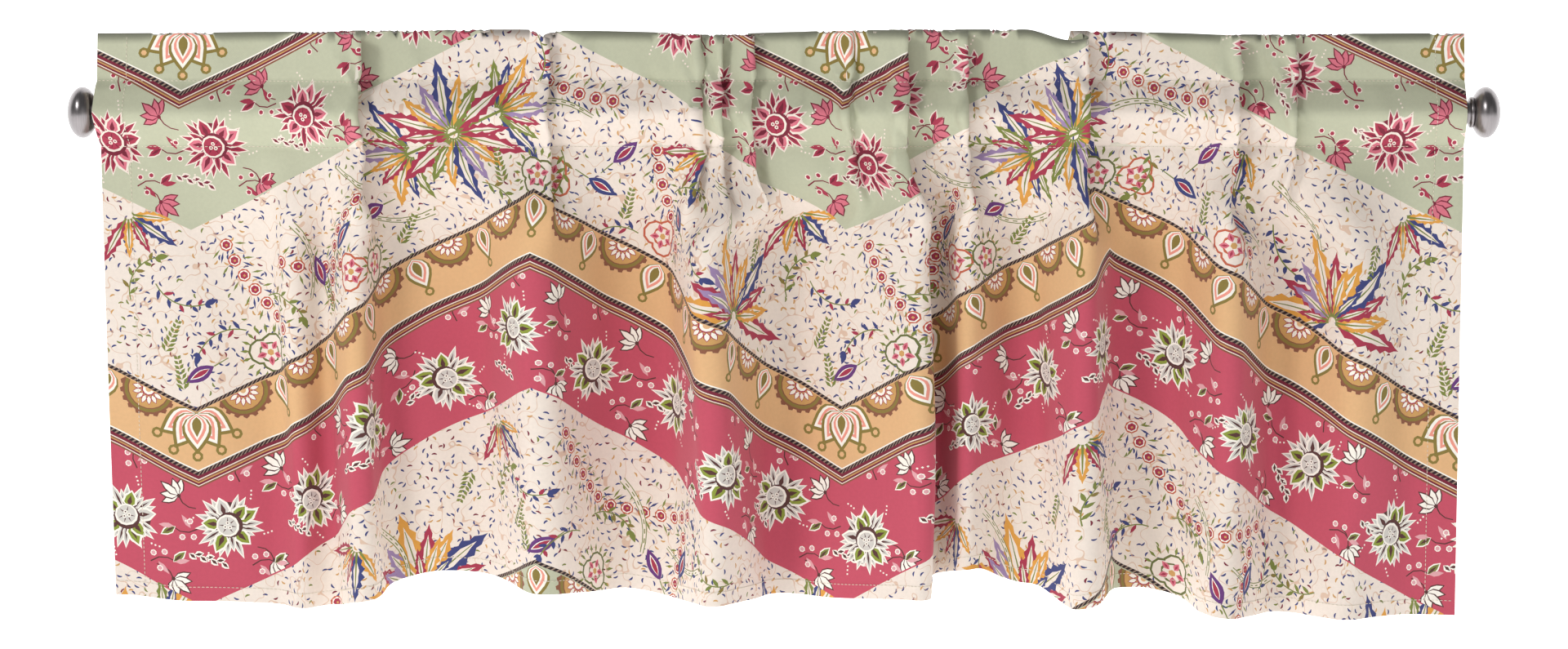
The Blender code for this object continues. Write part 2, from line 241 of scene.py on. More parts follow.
# %% Table of creases that stand out, by where they hang
Crease = namedtuple("Crease", "x top low push width lean")
CREASES = [
    Crease(x=-0.292, top=0.050, low=-0.020, push=0.0033, width=0.007, lean=0.004),
    Crease(x=-0.272, top=0.020, low=-0.060, push=-0.0027, width=0.008, lean=-0.004),
    Crease(x=-0.156, top=0.055, low=-0.010, push=0.0036, width=0.006, lean=-0.003),
    Crease(x=-0.104, top=0.030, low=-0.045, push=-0.0030, width=0.007, lean=0.006),
    Crease(x=-0.068, top=0.050, low=-0.030, push=0.0039, width=0.006, lean=0.002),
    Crease(x=-0.022, top=0.012, low=-0.065, push=-0.0033, width=0.006, lean=0.004),
    Crease(x=0.012, top=0.060, low=-0.012, push=0.0030, width=0.005, lean=-0.003),
    Crease(x=0.088, top=0.020, low=-0.055, push=0.0042, width=0.005, lean=0.002),
    Crease(x=0.123, top=0.048, low=0.000, push=-0.0039, width=0.005, lean=0.006),
    Crease(x=0.172, top=0.018, low=-0.050, push=0.0027, width=0.007, lean=-0.005),
    Crease(x=0.213, top=0.058, low=-0.020, push=0.0033, width=0.006, lean=0.004),
    Crease(x=0.262, top=0.020, low=-0.070, push=-0.0030, width=0.008, lean=0.003),
    Crease(x=0.345, top=0.058, low=-0.034, push=0.0045, width=0.005, lean=-0.004),
    Crease(x=0.360, top=0.016, low=-0.030, push=-0.0036, width=0.005, lean=0.002),
    Crease(x=0.396, top=0.026, low=0.004, push=0.0033, width=0.006, lean=-0.016),
    Crease(x=0.470, top=0.055, low=-0.010, push=0.0018, width=0.012, lean=0.004),
    Crease(x=-0.455, top=0.052, low=-0.020, push=0.0018, width=0.014, lean=-0.004),
]
Ripple = namedtuple("Ripple", "length height start")
STITCH_RIPPLES = [Ripple(0.0220, 0.0008, 0.3), Ripple(0.0310, 0.0012, 1.9),
                  Ripple(0.0470, 0.0011, 4.1)]
SLACK_RIPPLES = [Ripple(0.1150, 0.0016, 0.8), Ripple(0.2100, 0.0022, 2.6),
                 Ripple(0.0710, 0.0007, 5.0)]
SEAM_GROOVE = 0.0012
SEAM_REACH = 0.0035
PUCKER_REACH = 0.016
PINCH_REACH = 0.026
PINCH_PUSH = 0.0034
PINCH_WIDTH = 0.0045
PINCH_APART = 0.004
PINCH_SLANTS = (-0.9, -0.35, 0.25, 0.8)
print(len(CREASES), "creases by hand")


# %% The push forwards at one height
def ripple(places, rows):
    return sum(row.height * np.sin(2 * math.pi * places / row.length + row.start) for row in rows)


def push_at(height, x):
    """Puckers, creases and the pull of the stitches, along the whole width."""
    tight = spread(np.abs(gathers) > 0.3, 0.040).clip(0.25, 1.0)
    push = np.zeros_like(flat)
    for seam in (HEADER_STITCH_Z, POCKET_STITCH_Z):
        near = math.exp(-abs(height - seam) / PUCKER_REACH)
        groove = math.exp(-((height - seam) / SEAM_REACH) ** 2)
        push += near * tight * ripple(flat + 0.4 * height, STITCH_RIPPLES) - groove * SEAM_GROOVE
    for row in CREASES:
        centre = row.x + row.lean * (row.top - height) / (row.top - row.low)
        fade = float(ease((row.top + 0.008 - height) / 0.016))
        fade *= float(ease((height - row.low + 0.02) / 0.03))
        push += row.push * fade * np.exp(-((x - centre) / row.width) ** 2)
    for k, fold in enumerate(GATHERS):
        for side, slant in enumerate(PINCH_SLANTS):
            size = PINCH_PUSH * (1 - 2 * (side % 2)) * (0.7 + 0.3 * math.sin(2.6 * k + side))
            for seam, away in ((HEADER_STITCH_Z, slant), (POCKET_STITCH_Z, -slant)):
                near = math.exp(-((height - seam) / PINCH_REACH) ** 2)
                centre = fold.at + PINCH_APART * (side - 1.5) + away * (height - seam)
                push += size * near * np.exp(-((flat - centre) / PINCH_WIDTH) ** 2)
    hang = float(ease((POCKET_STITCH_Z - height) / 0.12))
    push += hang * ripple(flat + 0.25 * height, SLACK_RIPPLES)
    return push


# %% [markdown]
# ## From the flat cloth to the hung one
# Every point of the cloth has a flat address: how far along it lies (u) and how far up from
# the hem (v). The cloth goes up the front, over the top and down the back to the lower stitch,
# so v grows past the top edge. A grid of rows holds where each address hangs, and a point
# between its rows is read off by straight interpolation.

# %% Rows of the grid, from the hem over the top and down behind
Row = namedtuple("Row", "v z behind")
ROD_CLEARANCE = 0.0012
MOST_INWARD = 0.0003
END_FLARE = 0.0035
END_FLARE_REACH = 0.030
SEAM_CLOSING = 0.004
REAR_BULGE_REACH = 0.020


def pocket_half_width(height):
    """Half the pocket's width: straight from each stitch line, round over the rod."""
    radius = ROD_RADIUS + ROD_CLEARANCE
    reach = HEADER_STITCH_Z if height > 0.0 else -POCKET_STITCH_Z
    touch = radius * radius / reach
    if abs(height) < touch:
        return math.sqrt(radius * radius - height * height)
    wide = math.sqrt(radius * radius - touch * touch)
    return wide * max(0.0, reach - abs(height)) / (reach - touch)


body_z = np.concatenate([np.linspace(HEM_Z, -0.118, 14), np.linspace(-0.110, -0.040, 10),
                         [-0.0345, -0.0305, POCKET_STITCH_Z]])
pocket_z = np.linspace(POCKET_STITCH_Z, HEADER_STITCH_Z, 15)[1:]
header_z = HEADER_STITCH_Z + np.array([0.003, 0.007, 0.013, 0.021, 0.030, 0.039])
front_z = np.concatenate([body_z, pocket_z, header_z])
rear_z = np.concatenate([header_z[::-1], pocket_z[::-1], [POCKET_STITCH_Z]])[1:]
ROWS = [Row(z - HEM_Z, z, False) for z in front_z]
ROWS += [Row(TOP_V + TOP_Z - z, z, True) for z in rear_z]
print(len(ROWS), "rows, the first at the hem and the last behind the lower stitch")


# %% Hang every row
def hang_row(row):
    x, y, turn = section(row.z)
    ahead = np.stack([np.sin(turn), -np.cos(turn), np.zeros_like(turn)], axis=1)
    share_low = max(0.0, (POCKET_STITCH_Z - row.z) / (POCKET_STITCH_Z - HEM_Z))
    share_top = max(0.0, (row.z - HEADER_STITCH_Z) / (TOP_Z - HEADER_STITCH_Z))
    z = row.z + share_low * stray_at(flat, HEM_LINE) + share_top * stray_at(flat, TOP_LINE)
    middle = np.stack([x, y, z], axis=1)
    push = push_at(row.z, x)
    side = -1.0 if row.behind else 1.0
    out = side * CLOTH_THICKNESS * (1.0 if row.z > POCKET_STITCH_Z else 0.5) + push
    points = middle + ahead * out[:, None]
    if POCKET_STITCH_Z < row.z < HEADER_STITCH_Z:
        points = middle + ahead * np.maximum(out, -MOST_INWARD)[:, None]
        half = pocket_half_width(row.z) + END_FLARE * ease(1.0 - flat / END_FLARE_REACH)
        half = half * min(1.0, (HEADER_STITCH_Z - abs(row.z)) / SEAM_CLOSING)
        bulge = 0.0
        if row.behind:
            bulge = spread(furthest_back(-y, REAR_BULGE_REACH), REAR_BULGE_REACH)
        bulge = bulge * float(ease((HEADER_STITCH_Z - abs(row.z)) / 0.012))
        points[:, 1] -= side * half - bulge
    return points


hung_rows = np.array([hang_row(row) for row in ROWS])
hung_rows[len(front_z) - 1, :, 2] += CLOTH_THICKNESS / 2
row_v = np.array([row.v for row in ROWS])
print("hung grid", hung_rows.shape)


# %% Where a flat address hangs, and which way the cloth faces there
def hung(u, v):
    column = np.clip(u / FLAT_STEP, 0.0, len(flat) - 1.001)
    line = np.interp(v, row_v, np.arange(len(row_v))).clip(0.0, len(row_v) - 1.001)
    c, r = column.astype(int), line.astype(int)
    cs, rs = (column - c)[:, None], (line - r)[:, None]
    low = hung_rows[r, c] * (1 - cs) + hung_rows[r, c + 1] * cs
    high = hung_rows[r + 1, c] * (1 - cs) + hung_rows[r + 1, c + 1] * cs
    return low * (1 - rs) + high * rs


def facing(u, v):
    """Unit normal on the printed side."""
    across = hung(u + 0.0012, v) - hung(u - 0.0012, v)
    up = hung(u, v + 0.003) - hung(u, v - 0.003)
    normal = np.cross(across, up)
    return normal / np.maximum(np.linalg.norm(normal, axis=1, keepdims=True), 1e-12)


# %% [markdown]
# ## The print
# The cotton is printed in zigzag bands: sage or raspberry with flowers, cream with leaves,
# and a tan border of half-round rosettes. Straight stripes are easy for a material, but drawn
# motifs are easier as outlines. So each motif is a few flat outlines in painter's order. A
# constrained triangulation cuts them all into the flat cloth at once, and every triangle
# takes the dye of the topmost outline it lies in. The motifs are a generic set of flowers,
# leaves and berries in the colours and at the scale of such prints.

# %% Sizes of the print, in millimetres on the flat cloth
VALLEY_AT = 68.9
HALF_REPEAT = 363.8
ZIGZAG_RISE = 178.4
CYCLE = 307.5
TOP_MM = TOP_V * 1000.0
BRAID_DROP = -5.0
SCALLOP_DROP = -1.0
STRIPES_DROP = 46.0
FLOWERS_DROP = 60.7
CREAM_DROP = 157.0
SLOPE = math.atan2(ZIGZAG_RISE, HALF_REPEAT)
print("zigzag slope", round(math.degrees(SLOPE), 1), "degrees")


# %% Dyes
def linear(code):
    """sRGB hex to linear red, green and blue."""
    parts = [int(code[i:i + 2], 16) / 255.0 for i in (0, 2, 4)]
    return [c / 12.92 if c <= 0.04045 else ((c + 0.055) / 1.055) ** 2.4 for c in parts]


DYES = {
    "cream": "EFE2D6", "sage": "C0C2A8", "tan": "E3B685", "raspberry": "C65467",
    "white": "FBF5EA", "ink": "33262A", "maroon": "7C2B3C", "brown": "8E5B46",
    "gold": "CFA063", "olive": "8C7B40", "coral": "EF9C8B", "navy": "41477C",
    "crimson": "A93A50", "pink": "D67484", "orange": "DFA04A", "lilac": "9F86AE",
    "leaf": "7E8743", "moss": "6B7040", "grey": "D6D1C9", "violet": "6A3D7C",
    "rust": "C4654B", "lime": "8F9C40", "umber": "5C3A38", "blush": "E3A9AE",
}
print(len(DYES), "dyes")

# %% Outlines, as complex numbers in millimetres
shapes = []


def paint(outline, at, turn, dye):
    """Lay an outline on the cloth, anticlockwise. Later ones lie on top."""
    line = at + np.asarray(outline) * turn
    turning = (np.conj(line - line[0]) * (np.roll(line, -1) - line[0])).imag.sum()
    shapes.append((line if turning > 0 else line[::-1], dye))


def way(degrees):
    return cmath.rect(1.0, math.radians(degrees))


def leaf(length, width, steps=4, belly=0.85, teeth=0.0):
    """Pointed leaf from 0 along +real. Teeth cut its edge like a saw."""
    share = np.linspace(0.0, 1.0, steps + 1)
    half = 0.5 * width * np.sin(math.pi * share ** belly)
    half[1:-1] *= 1.0 - teeth * (np.arange(1, steps) % 2)
    upper = length * share + 1j * half
    return np.concatenate([upper, np.conj(upper[1:-1][::-1])])


def disc(radius, sides=8, squash=1.0):
    turn = 2 * math.pi * (np.arange(sides) + 0.5) / sides
    return radius * (np.cos(turn) + 1j * squash * np.sin(turn))


def half_disc(radius, steps=10):
    """Half disc on the +real side of 0."""
    return radius * np.exp(1j * np.radians(np.linspace(-90, 90, steps + 1)))


def stroke(points, wide, thin=0.3):
    """Brush line through points, wide at its start and thin at its end."""
    points = np.asarray(points, dtype=complex)
    along = np.gradient(points)
    side = 1j * along / np.abs(along)
    half = 0.5 * np.linspace(wide, thin, len(points))
    return np.concatenate([points + side * half, (points - side * half)[::-1]])


def bow(length, sag, steps=3):
    """Points of a shallow arc from 0 along +real."""
    share = np.linspace(0.0, 1.0, steps + 1)
    return length * share + 1j * sag * 4 * share * (1 - share)


# %% Places on the zigzag
def tri(u):
    """0 in the zigzag's valleys and 1 on its peaks."""
    return abs(((u - VALLEY_AT) / HALF_REPEAT + 1.0) % 2.0 - 1.0)


def on_band(u, drop):
    """Place on the cloth at a drop below the band's own zero, and the band's slope there."""
    height = TOP_MM - drop + ZIGZAG_RISE * tri(u)
    rising = math.floor((u - VALLEY_AT) / HALF_REPEAT) % 2 == 0
    return complex(u, height), cmath.rect(1.0, SLOPE if rising else -SLOPE)


def on_cloth(at, reach):
    """True on the front. Nothing is drawn on the rear ply, where nobody sees it."""
    return -reach < at.real < 1000 * FLAT_WIDTH + reach and -reach < at.imag < TOP_MM + 0.5 * reach


# %% The bands of one cycle, by their drop in millimetres. What is left between them is cream
Band = namedtuple("Band", "top low dye")
HALVES = [("sage", "sage"), ("tan", "raspberry")]
BRAIDS = [(-5.0, -1.8), (47.2, 50.6)]


def bands_of(cycle):
    border, field = HALVES[cycle % 2]
    return [
        Band(-5.0, -1.8, "ink"), Band(-1.8, 46.0, border), Band(46.0, 47.2, "white"),
        Band(47.2, 50.6, "ink"), Band(50.6, 53.4, "maroon"), Band(53.4, 54.3, "cream"),
        Band(54.3, 55.7, "brown"), Band(55.7, 56.7, "gold"), Band(56.7, 58.4, "maroon"),
        Band(58.4, 59.2, "cream"), Band(59.2, FLOWERS_DROP, "brown"),
        Band(FLOWERS_DROP, CREAM_DROP, field),
    ]


CYCLES = (-1, 0, 1, 2)
turns = VALLEY_AT + HALF_REPEAT * np.arange(-1, 6)
for cycle in CYCLES:
    for band in bands_of(cycle):
        upper = [on_band(u, band.top + CYCLE * cycle)[0] for u in turns]
        lower = [on_band(u, band.low + CYCLE * cycle)[0] for u in turns[::-1]]
        paint(upper + lower, 0, 1, band.dye)
zone_ends = [len(shapes)]
print(len(shapes), "bands")


def zone(u, y):
    """Part of the cycle that a flat place lies in: 0 stripes, 1 field, 2 border, 3 cream."""
    drop = (TOP_MM - y + ZIGZAG_RISE * tri(u) - BRAID_DROP) % CYCLE + BRAID_DROP
    if drop >= CREAM_DROP:
        return 3
    return 2 if drop < STRIPES_DROP else 1 if drop >= FLOWERS_DROP else 0


# %% [markdown]
# ## Flowers of the coloured bands
# A row of open flowers runs along the middle of each coloured band, with lilies, buds and
# twigs between them. Both bands have the same shapes, and only the dyes differ, so the dyes
# are a row of a table. All sizes are in millimetres, and each motif is drawn from its root.

# %% The open flower, and what grows beside it
Blossom = namedtuple("Blossom", "edge long wide heart vein stem bud berry lily")
ON_SAGE = Blossom(edge="cream", long="crimson", wide="pink", heart="crimson", vein="maroon",
                  stem="maroon", bud="crimson", berry="crimson", lily="pink")
ON_RASPBERRY = Blossom(edge="white", long="grey", wide="lime", heart="grey", vein="umber",
                       stem="umber", bud="leaf", berry="blush", lily="white")
Petal = namedtuple("Petal", "bearing length round")
ROUND_PETALS = [Petal(38, 20, True), Petal(112, 17, True), Petal(184, 21, True),
                Petal(204, 16, True), Petal(262, 18, False), Petal(330, 16, True)]


def petal(at, turn, length, width, edge, fill, vein=None):
    paint(leaf(length, width, 3), at, turn, edge)
    paint(leaf(length * 0.86, width * 0.70, 3), at + turn * length * 0.04, turn, fill)
    if vein:
        paint(leaf(length * 0.66, width * 0.30, 2), at + turn * length * 0.06, turn, vein)


def flower(at, turn, inks):
    """Open flower: bunches of slender streaked petals, and rounder ones between them."""
    paint(disc(19.5, 15), at, turn, inks.vein)
    for k in range(5):
        heading = turn * way(72 * k + 10 * math.sin(3.7 * k))
        for lean in (-20, 20, -7, 7):
            length = 20.0 + 4.0 * math.sin(2.3 * k + 0.3 * lean)
            petal(at + 6.0 * heading * way(lean), heading * way(lean), length, 6.4,
                  inks.edge, inks.long, inks.vein)
    for row in ROUND_PETALS:
        petal(at + 6.0 * turn * way(row.bearing), turn * way(row.bearing), row.length, 13.0,
              inks.edge, inks.wide if row.round else inks.long, inks.vein)
    for bearing in (28, 141, 205, 322):
        for step in range(3):
            dot = at + (28.5 + 2.8 * step) * turn * way(bearing + 3 * step)
            paint(disc(0.95, 4), dot, turn, inks.edge)
    paint(disc(10.6, 14), at - 0.8 * turn, turn, inks.vein)
    paint(disc(9.2, 12), at + 0.9 * turn, turn, inks.edge)
    paint(disc(7.6, 12), at + 1.2 * turn, turn, inks.heart)
    for bearing in (100, 148, 196, 244, 30, 330):
        paint(stroke([3.4, 6.6], 1.1), at + turn, turn * way(bearing), inks.vein)
    for spot in (3.2, 2.0j, -2.0j):
        paint(disc(1.7, 6), at + spot * turn, turn, inks.edge)
        paint(disc(0.8, 4), at + spot * turn, turn, inks.vein)


def lily(at, turn, inks):
    for lean in (62, -62, 34, -34, 0):
        petal(at, turn * way(lean), 15.5 if lean else 18.5, 7.4, inks.vein, inks.lily)
    paint(stroke(bow(-17, 3), 1.1, 0.8), at, turn, inks.stem)
    paint(disc(1.8, 5), at, turn, inks.vein)


def bud(at, turn, inks):
    """Comma-shaped bud on a bent stem, with three berries and a curled leaf."""
    paint(stroke(bow(21, 4), 1.1, 0.8), at, turn, inks.stem)
    head = at + 18 * turn
    petal(head, turn * way(38), 14.5, 7.6, inks.edge, inks.bud, inks.vein)
    paint(leaf(12.0, 4.4, 3), head + 1.5 * turn, turn * way(4), inks.berry)
    paint(leaf(13.0, 4.0, 3), at + 6 * turn, turn * way(-52), inks.berry)
    for spot in (7 - 5.5j, 12 + 8j, 3 + 7j):
        paint(disc(2.6, 7), at + spot * turn, turn, inks.edge)
        paint(disc(1.8, 6), at + spot * turn, turn, inks.berry)


def twig(at, turn, inks):
    for step in range(7):
        side = 1 if step % 2 else -1
        paint(leaf(8.0, 5.4, 3), at + 4.4 * step * turn, turn * way(24 * side), inks.edge)
        paint(leaf(6.4, 2.6, 2), at + (4.4 * step + 0.6) * turn, turn * way(24 * side), inks.vein)


# %% Fill the coloured bands
FLOWER_PITCH = HALF_REPEAT / 4.5
BAND_MIDDLE = 0.5 * (FLOWERS_DROP + CREAM_DROP)
STAGGER = 7.0
Beside = namedtuple("Beside", "along drop lean draw")
BESIDE_FLOWER = [
    Beside(0.52, -34, 118, lily), Beside(0.44, 38, -64, lily), Beside(0.22, 34, -20, bud),
    Beside(0.70, -14, 150, bud), Beside(0.60, 10, -40, twig), Beside(0.12, -38, 62, bud),
]


def fill_band(cycle, inks):
    count = int(1000 * FLAT_WIDTH / FLOWER_PITCH) + 2
    for k in range(-1, count):
        u = VALLEY_AT + FLOWER_PITCH * (k + 0.28)
        stagger = STAGGER if k % 2 else -STAGGER
        at, slope = on_band(u, BAND_MIDDLE + stagger + CYCLE * cycle)
        if not on_cloth(at, 30):
            continue
        for row in BESIDE_FLOWER:
            place, tilt = on_band(u + FLOWER_PITCH * row.along, BAND_MIDDLE + row.drop + CYCLE * cycle)
            row.draw(place, tilt * way(row.lean + 25 * (k % 3)), inks)
        flower(at, slope * way(180 + 47 * k), inks)


fill_band(0, ON_SAGE)
fill_band(1, ON_RASPBERRY)
zone_ends.append(len(shapes))
print(len(shapes), "outlines in the coloured bands")

# %% [markdown]
# ## The border
# Half rosettes hang from the braid with a layered drop between each two, and a fan of drops
# fills each valley. It is the old scalloped border of block prints, so loops can set it out.

# %% The border of half-round rosettes
DAISIES = 6
DAISY_PITCH = HALF_REPEAT / (DAISIES + 0.28)


def daisy(at, slope):
    """Half rosette that hangs from the braid, bounded by a beaded brown edge."""
    down = slope * -1j
    for k in range(9):
        paint(disc(2.7, 5), at + 20.4 * down * way(-80 + 20 * k), slope, "brown")
    for radius, dye in ((20.8, "brown"), (19.2, "olive"), (16.6, "brown"), (15.7, "gold")):
        paint(half_disc(radius), at, down, dye)
    for bearing in (-78, -52, -26, 0, 26, 52, 78):
        heading = down * way(bearing)
        paint(leaf(8.2, 4.6, 3), at + 5.0 * heading, heading, "crimson")
        paint(leaf(6.8, 3.3, 3), at + 5.7 * heading, heading, "white")
    for radius, dye in ((5.6, "crimson"), (4.6, "white"), (2.4, "tan")):
        paint(half_disc(radius, 5), at, down, dye)


def drop_leaf(at, down, size=1.0):
    """Layered drop between two rosettes, with a loop at its tip."""
    for wide, start, dye in ((1.0, 0.0, "olive"), (0.82, 0.5, "white"), (0.64, 1.4, "coral"),
                             (0.46, 2.4, "white"), (0.32, 3.4, "olive")):
        paint(leaf(27 * size * (0.25 + 0.75 * wide), 19 * size * wide, 6, 0.75), at + start * down,
              down, dye)
    tip = at + 28.5 * size * down
    paint(disc(3.6 * size, 8), tip, down, "olive")
    paint(disc(1.9 * size, 6), tip, down, "tan")


def fill_border(cycle):
    start = SCALLOP_DROP + CYCLE * cycle
    for arm in range(-1, 6):
        foot = VALLEY_AT + HALF_REPEAT * arm
        for k in range(DAISIES):
            u = foot + DAISY_PITCH * (k + 0.64)
            at, slope = on_band(u, start)
            if on_cloth(at, 24):
                daisy(at, slope)
        for k in range(DAISIES - 1):
            at, slope = on_band(foot + DAISY_PITCH * (k + 1.14), start)
            if on_cloth(at, 34):
                drop_leaf(at, slope * -1j, 1.12)
        at, _ = on_band(foot, start)
        if arm % 2 == 0 and on_cloth(at, 40):
            for bearing in (-28, -152, -58, -122, -90):
                drop_leaf(at, way(bearing), 1.25)
        elif on_cloth(at, 40):
            drop_leaf(at, way(-90), 1.1)


for cycle in CYCLES[1:]:
    fill_border(cycle)
zone_ends.append(len(shapes))
print(len(shapes), "outlines with the border")


# %% [markdown]
# ## The cream bands
# The cream carries fans of saw-edged leaves, strings of berries, pods, buds, rosettes and
# sprigs, strewn unevenly. Each kind is one function, and a short table says where each one of
# them goes in one repeat.

# %% Leaves, berries and rosettes of the cream band
def toothed(at, turn, length, dye):
    """Saw-edged leaf with a pale middle and a green rib."""
    paint(leaf(length, length * 0.30, 12, 0.85, 0.36), at, turn, dye)
    middle = leaf(length * 0.66, length * 0.125, 6, 0.85, 0.25)
    paint(middle, at + 0.15 * length * turn, turn, "cream")
    paint(stroke([0, length * 0.74], 1.7, 0.6), at, turn, "leaf")


def leaf_fan(at, turn, dyes, opening, length):
    """Leaves fanned from one root, the outer ones first."""
    middle = 0.5 * (len(dyes) - 1)
    for k in sorted(range(len(dyes)), key=lambda k: -abs(k - middle)):
        heading = turn * way(opening * (k - middle) / max(middle, 1))
        toothed(at + 4 * heading, heading, length * (0.84 + 0.16 * math.cos(2.1 * k)), dyes[k])


def burst(at, turn, length):
    """Leaves on three roots along one stem, the outer roots opening outwards."""
    stem = [-1.5 * length, -0.5 * length, 0.5 * length, 1.3 * length]
    paint(stroke(stem, 2.4, 2.0), at, turn, "leaf")
    for root, opening in ((-0.62, 76), (0.66, 72)):
        outward = turn * (1 if root > 0 else -1)
        dyes = [FAN_DYES[(3 * k + 9) % 7] for k in range(9)]
        leaf_fan(at + root * length * turn, outward, dyes, opening, 0.80 * length)
    for side in (1j, -1j):
        dyes = [FAN_DYES[(2 * k + 3) % 7] for k in range(8)]
        leaf_fan(at, turn * side, dyes, 72, 0.92 * length)


def half_burst(at, turn, length):
    leaf_fan(at, turn, HALF_FAN_DYES, 104, length)
    leaf_fan(at, turn, HALF_FAN_DYES[1:9], 88, 0.62 * length)


def berry_chain(at, turn, count, bend):
    """Row of ringed berries with feathery strokes on both sides."""
    place, heading = at, turn
    for k in range(count):
        for side in (-1, 1):
            for lean, dye in ((50, "navy"), (78, "leaf")):
                root = place + 6.4 * heading * way(side * lean)
                paint(leaf(9.5, 1.9, 2), root, heading * way(side * (lean - 14)), dye)
        paint(disc(5.4, 8), place, heading, "rust")
        paint(disc(4.3, 7), place, heading, "white")
        paint(disc(3.4, 6), place, heading, "crimson")
        paint(disc(1.2, 4), place + 0.4 * heading, heading, "gold")
        place += 14.0 * heading
        heading *= way(bend)


def pod(at, turn, length=62, sag=9):
    paint(stroke(bow(length, sag, 7), 5.4, 3.0), at, turn, "leaf")
    paint(stroke(bow(length, sag, 7), 3.9, 1.6), at, turn, "cream")
    points = bow(length, sag, 16)
    for k in range(1, 15, 2):
        paint(stroke([points[k], points[k + 1]], 0.9, 0.9), at, turn, "leaf")


def bright_bud(at, turn, dye):
    paint(leaf(27.0, 12.0, 6, 0.9), at, turn, dye)
    paint(leaf(18.0, 5.4, 5, 0.9), at + 4.2 * turn, turn, "white")
    paint(leaf(16.0, 4.0, 4, 0.9), at + 4.6 * turn, turn, "crimson")
    paint(stroke([0, -13.0], 1.1, 0.7), at, turn, "leaf")


def sprig(at, turn, bend, dyes):
    """Bending stem with small leaves on both sides and a bud at its tip."""
    place, heading = at, turn
    for k in range(9):
        paint(stroke([0, 5.4], 1.0, 1.0), place, heading, "leaf")
        place += 5.0 * heading
        heading *= way(bend)
        side = 48 if k % 2 else -48
        paint(leaf(9.5 - 0.4 * k, 3.2, 3), place, heading * way(side), dyes[k % len(dyes)])
    paint(leaf(11.0, 5.0, 4), place, heading, dyes[0])


def rosette(at, turn, rim, fringe):
    for k in range(18 if fringe else 0):
        heading = turn * way(20 * k)
        paint(leaf(8.0, 2.6, 2), at + 15.5 * heading, heading, fringe)
    for radius, dye in ((10.8, rim), (9.0, "cream")):
        for bearing in (0, 120, 240):
            paint(disc(radius, 10), at + 6.4 * turn * way(bearing), turn, dye)
    paint(disc(8.6, 9), at, turn, rim)
    paint(disc(7.2, 8), at, turn, "cream")
    for k in range(5):
        heading = turn * way(72 * k)
        paint(leaf(8.0, 5.0, 3), at + 3.0 * heading, heading, "pink")
        paint(leaf(5.6, 2.0, 2), at + 3.8 * heading, heading, "crimson")
    paint(disc(2.8, 6), at, turn, "gold")


def fern(at, turn, count=7):
    for k in range(count):
        size = 1.0 - 0.6 * k / count
        for side in (-1, 1):
            paint(leaf(8.4 * size, 2.8, 2), at + 4.2 * k * turn, turn * way(side * 42), "leaf")


# %% Layout of the cream band: flat place in millimetres and bearing, for one full repeat
FAN_DYES = ("orange", "crimson", "navy", "crimson", "lilac", "leaf", "orange")
HALF_FAN_DYES = ("crimson", "orange", "crimson", "navy", "orange", "crimson", "orange", "lilac",
                 "crimson", "orange", "navy")
Place = namedtuple("Place", "kind u drop turn")
CREAM_PLACES = [
    Place("burst", 366, 226, 24),
    Place("half_fan", 676, 286, 84),
    Place("tuft", 20, 170, -62),
    Place("tuft", 600, 190, -122),
    Place("berries", 96, 184, -64),
    Place("berries", 222, 206, -116),
    Place("berries", 446, 196, -34),
    Place("berries", 556, 212, -84),
    Place("berries", 150, 222, -12),
    Place("pod", 160, 196, -76),
    Place("pod", 258, 212, 168),
    Place("pod", 446, 232, -6),
    Place("pod", 632, 200, -58),
    Place("pod", 330, 276, 176),
    Place("bud_violet", 190, 262, 112),
    Place("bud_navy", 214, 244, 66),
    Place("bud_violet", 292, 250, 200),
    Place("bud_navy", 500, 262, -34),
    Place("bud_violet", 520, 240, 40),
    Place("bud_navy", 596, 258, 128),
    Place("bud_violet", 84, 276, -150),
    Place("ring_rust", 236, 272, 10),
    Place("ring_moss", 268, 284, 40),
    Place("ring_rust", 470, 276, 70),
    Place("ring_moss", 436, 290, 15),
    Place("ring_rust", 560, 282, 35),
    Place("ring_moss", 128, 286, 60),
    Place("fern", 300, 288, 60),
    Place("fern", 206, 290, 118),
    Place("fern", 404, 284, 100),
    Place("fern", 528, 284, 74),
    Place("fern", 46, 268, 66),
    Place("fern", 60, 292, 100),
    Place("fern", 716, 206, 250),
    Place("sprig_navy", 110, 260, 170),
    Place("sprig_leaf", 128, 240, 20),
    Place("sprig_navy", 238, 230, 40),
    Place("sprig_leaf", 300, 200, 200),
    Place("sprig_navy", 440, 214, 60),
    Place("sprig_leaf", 478, 250, -70),
    Place("sprig_navy", 540, 290, 150),
    Place("sprig_leaf", 572, 238, 30),
    Place("sprig_navy", 628, 236, 250),
    Place("sprig_leaf", 20, 240, 100),
    Place("sprig_navy", 40, 216, -60),
    Place("sprig_leaf", 386, 276, -10),
]


DRAW = {
    "burst": (burst, 62), "half_fan": (half_burst, 68), "tuft": (leaf_fan, HALF_FAN_DYES[:5], 56, 42),
    "berries": (berry_chain, 7, 5), "pod": (pod,), "fern": (fern,),
    "bud_violet": (bright_bud, "violet"), "bud_navy": (bright_bud, "navy"),
    "sprig_navy": (sprig, 9, ("navy", "crimson", "navy")),
    "sprig_leaf": (sprig, -10, ("leaf", "olive", "leaf")),
    "ring_rust": (rosette, "rust", None), "ring_moss": (rosette, "moss", "leaf"),
}


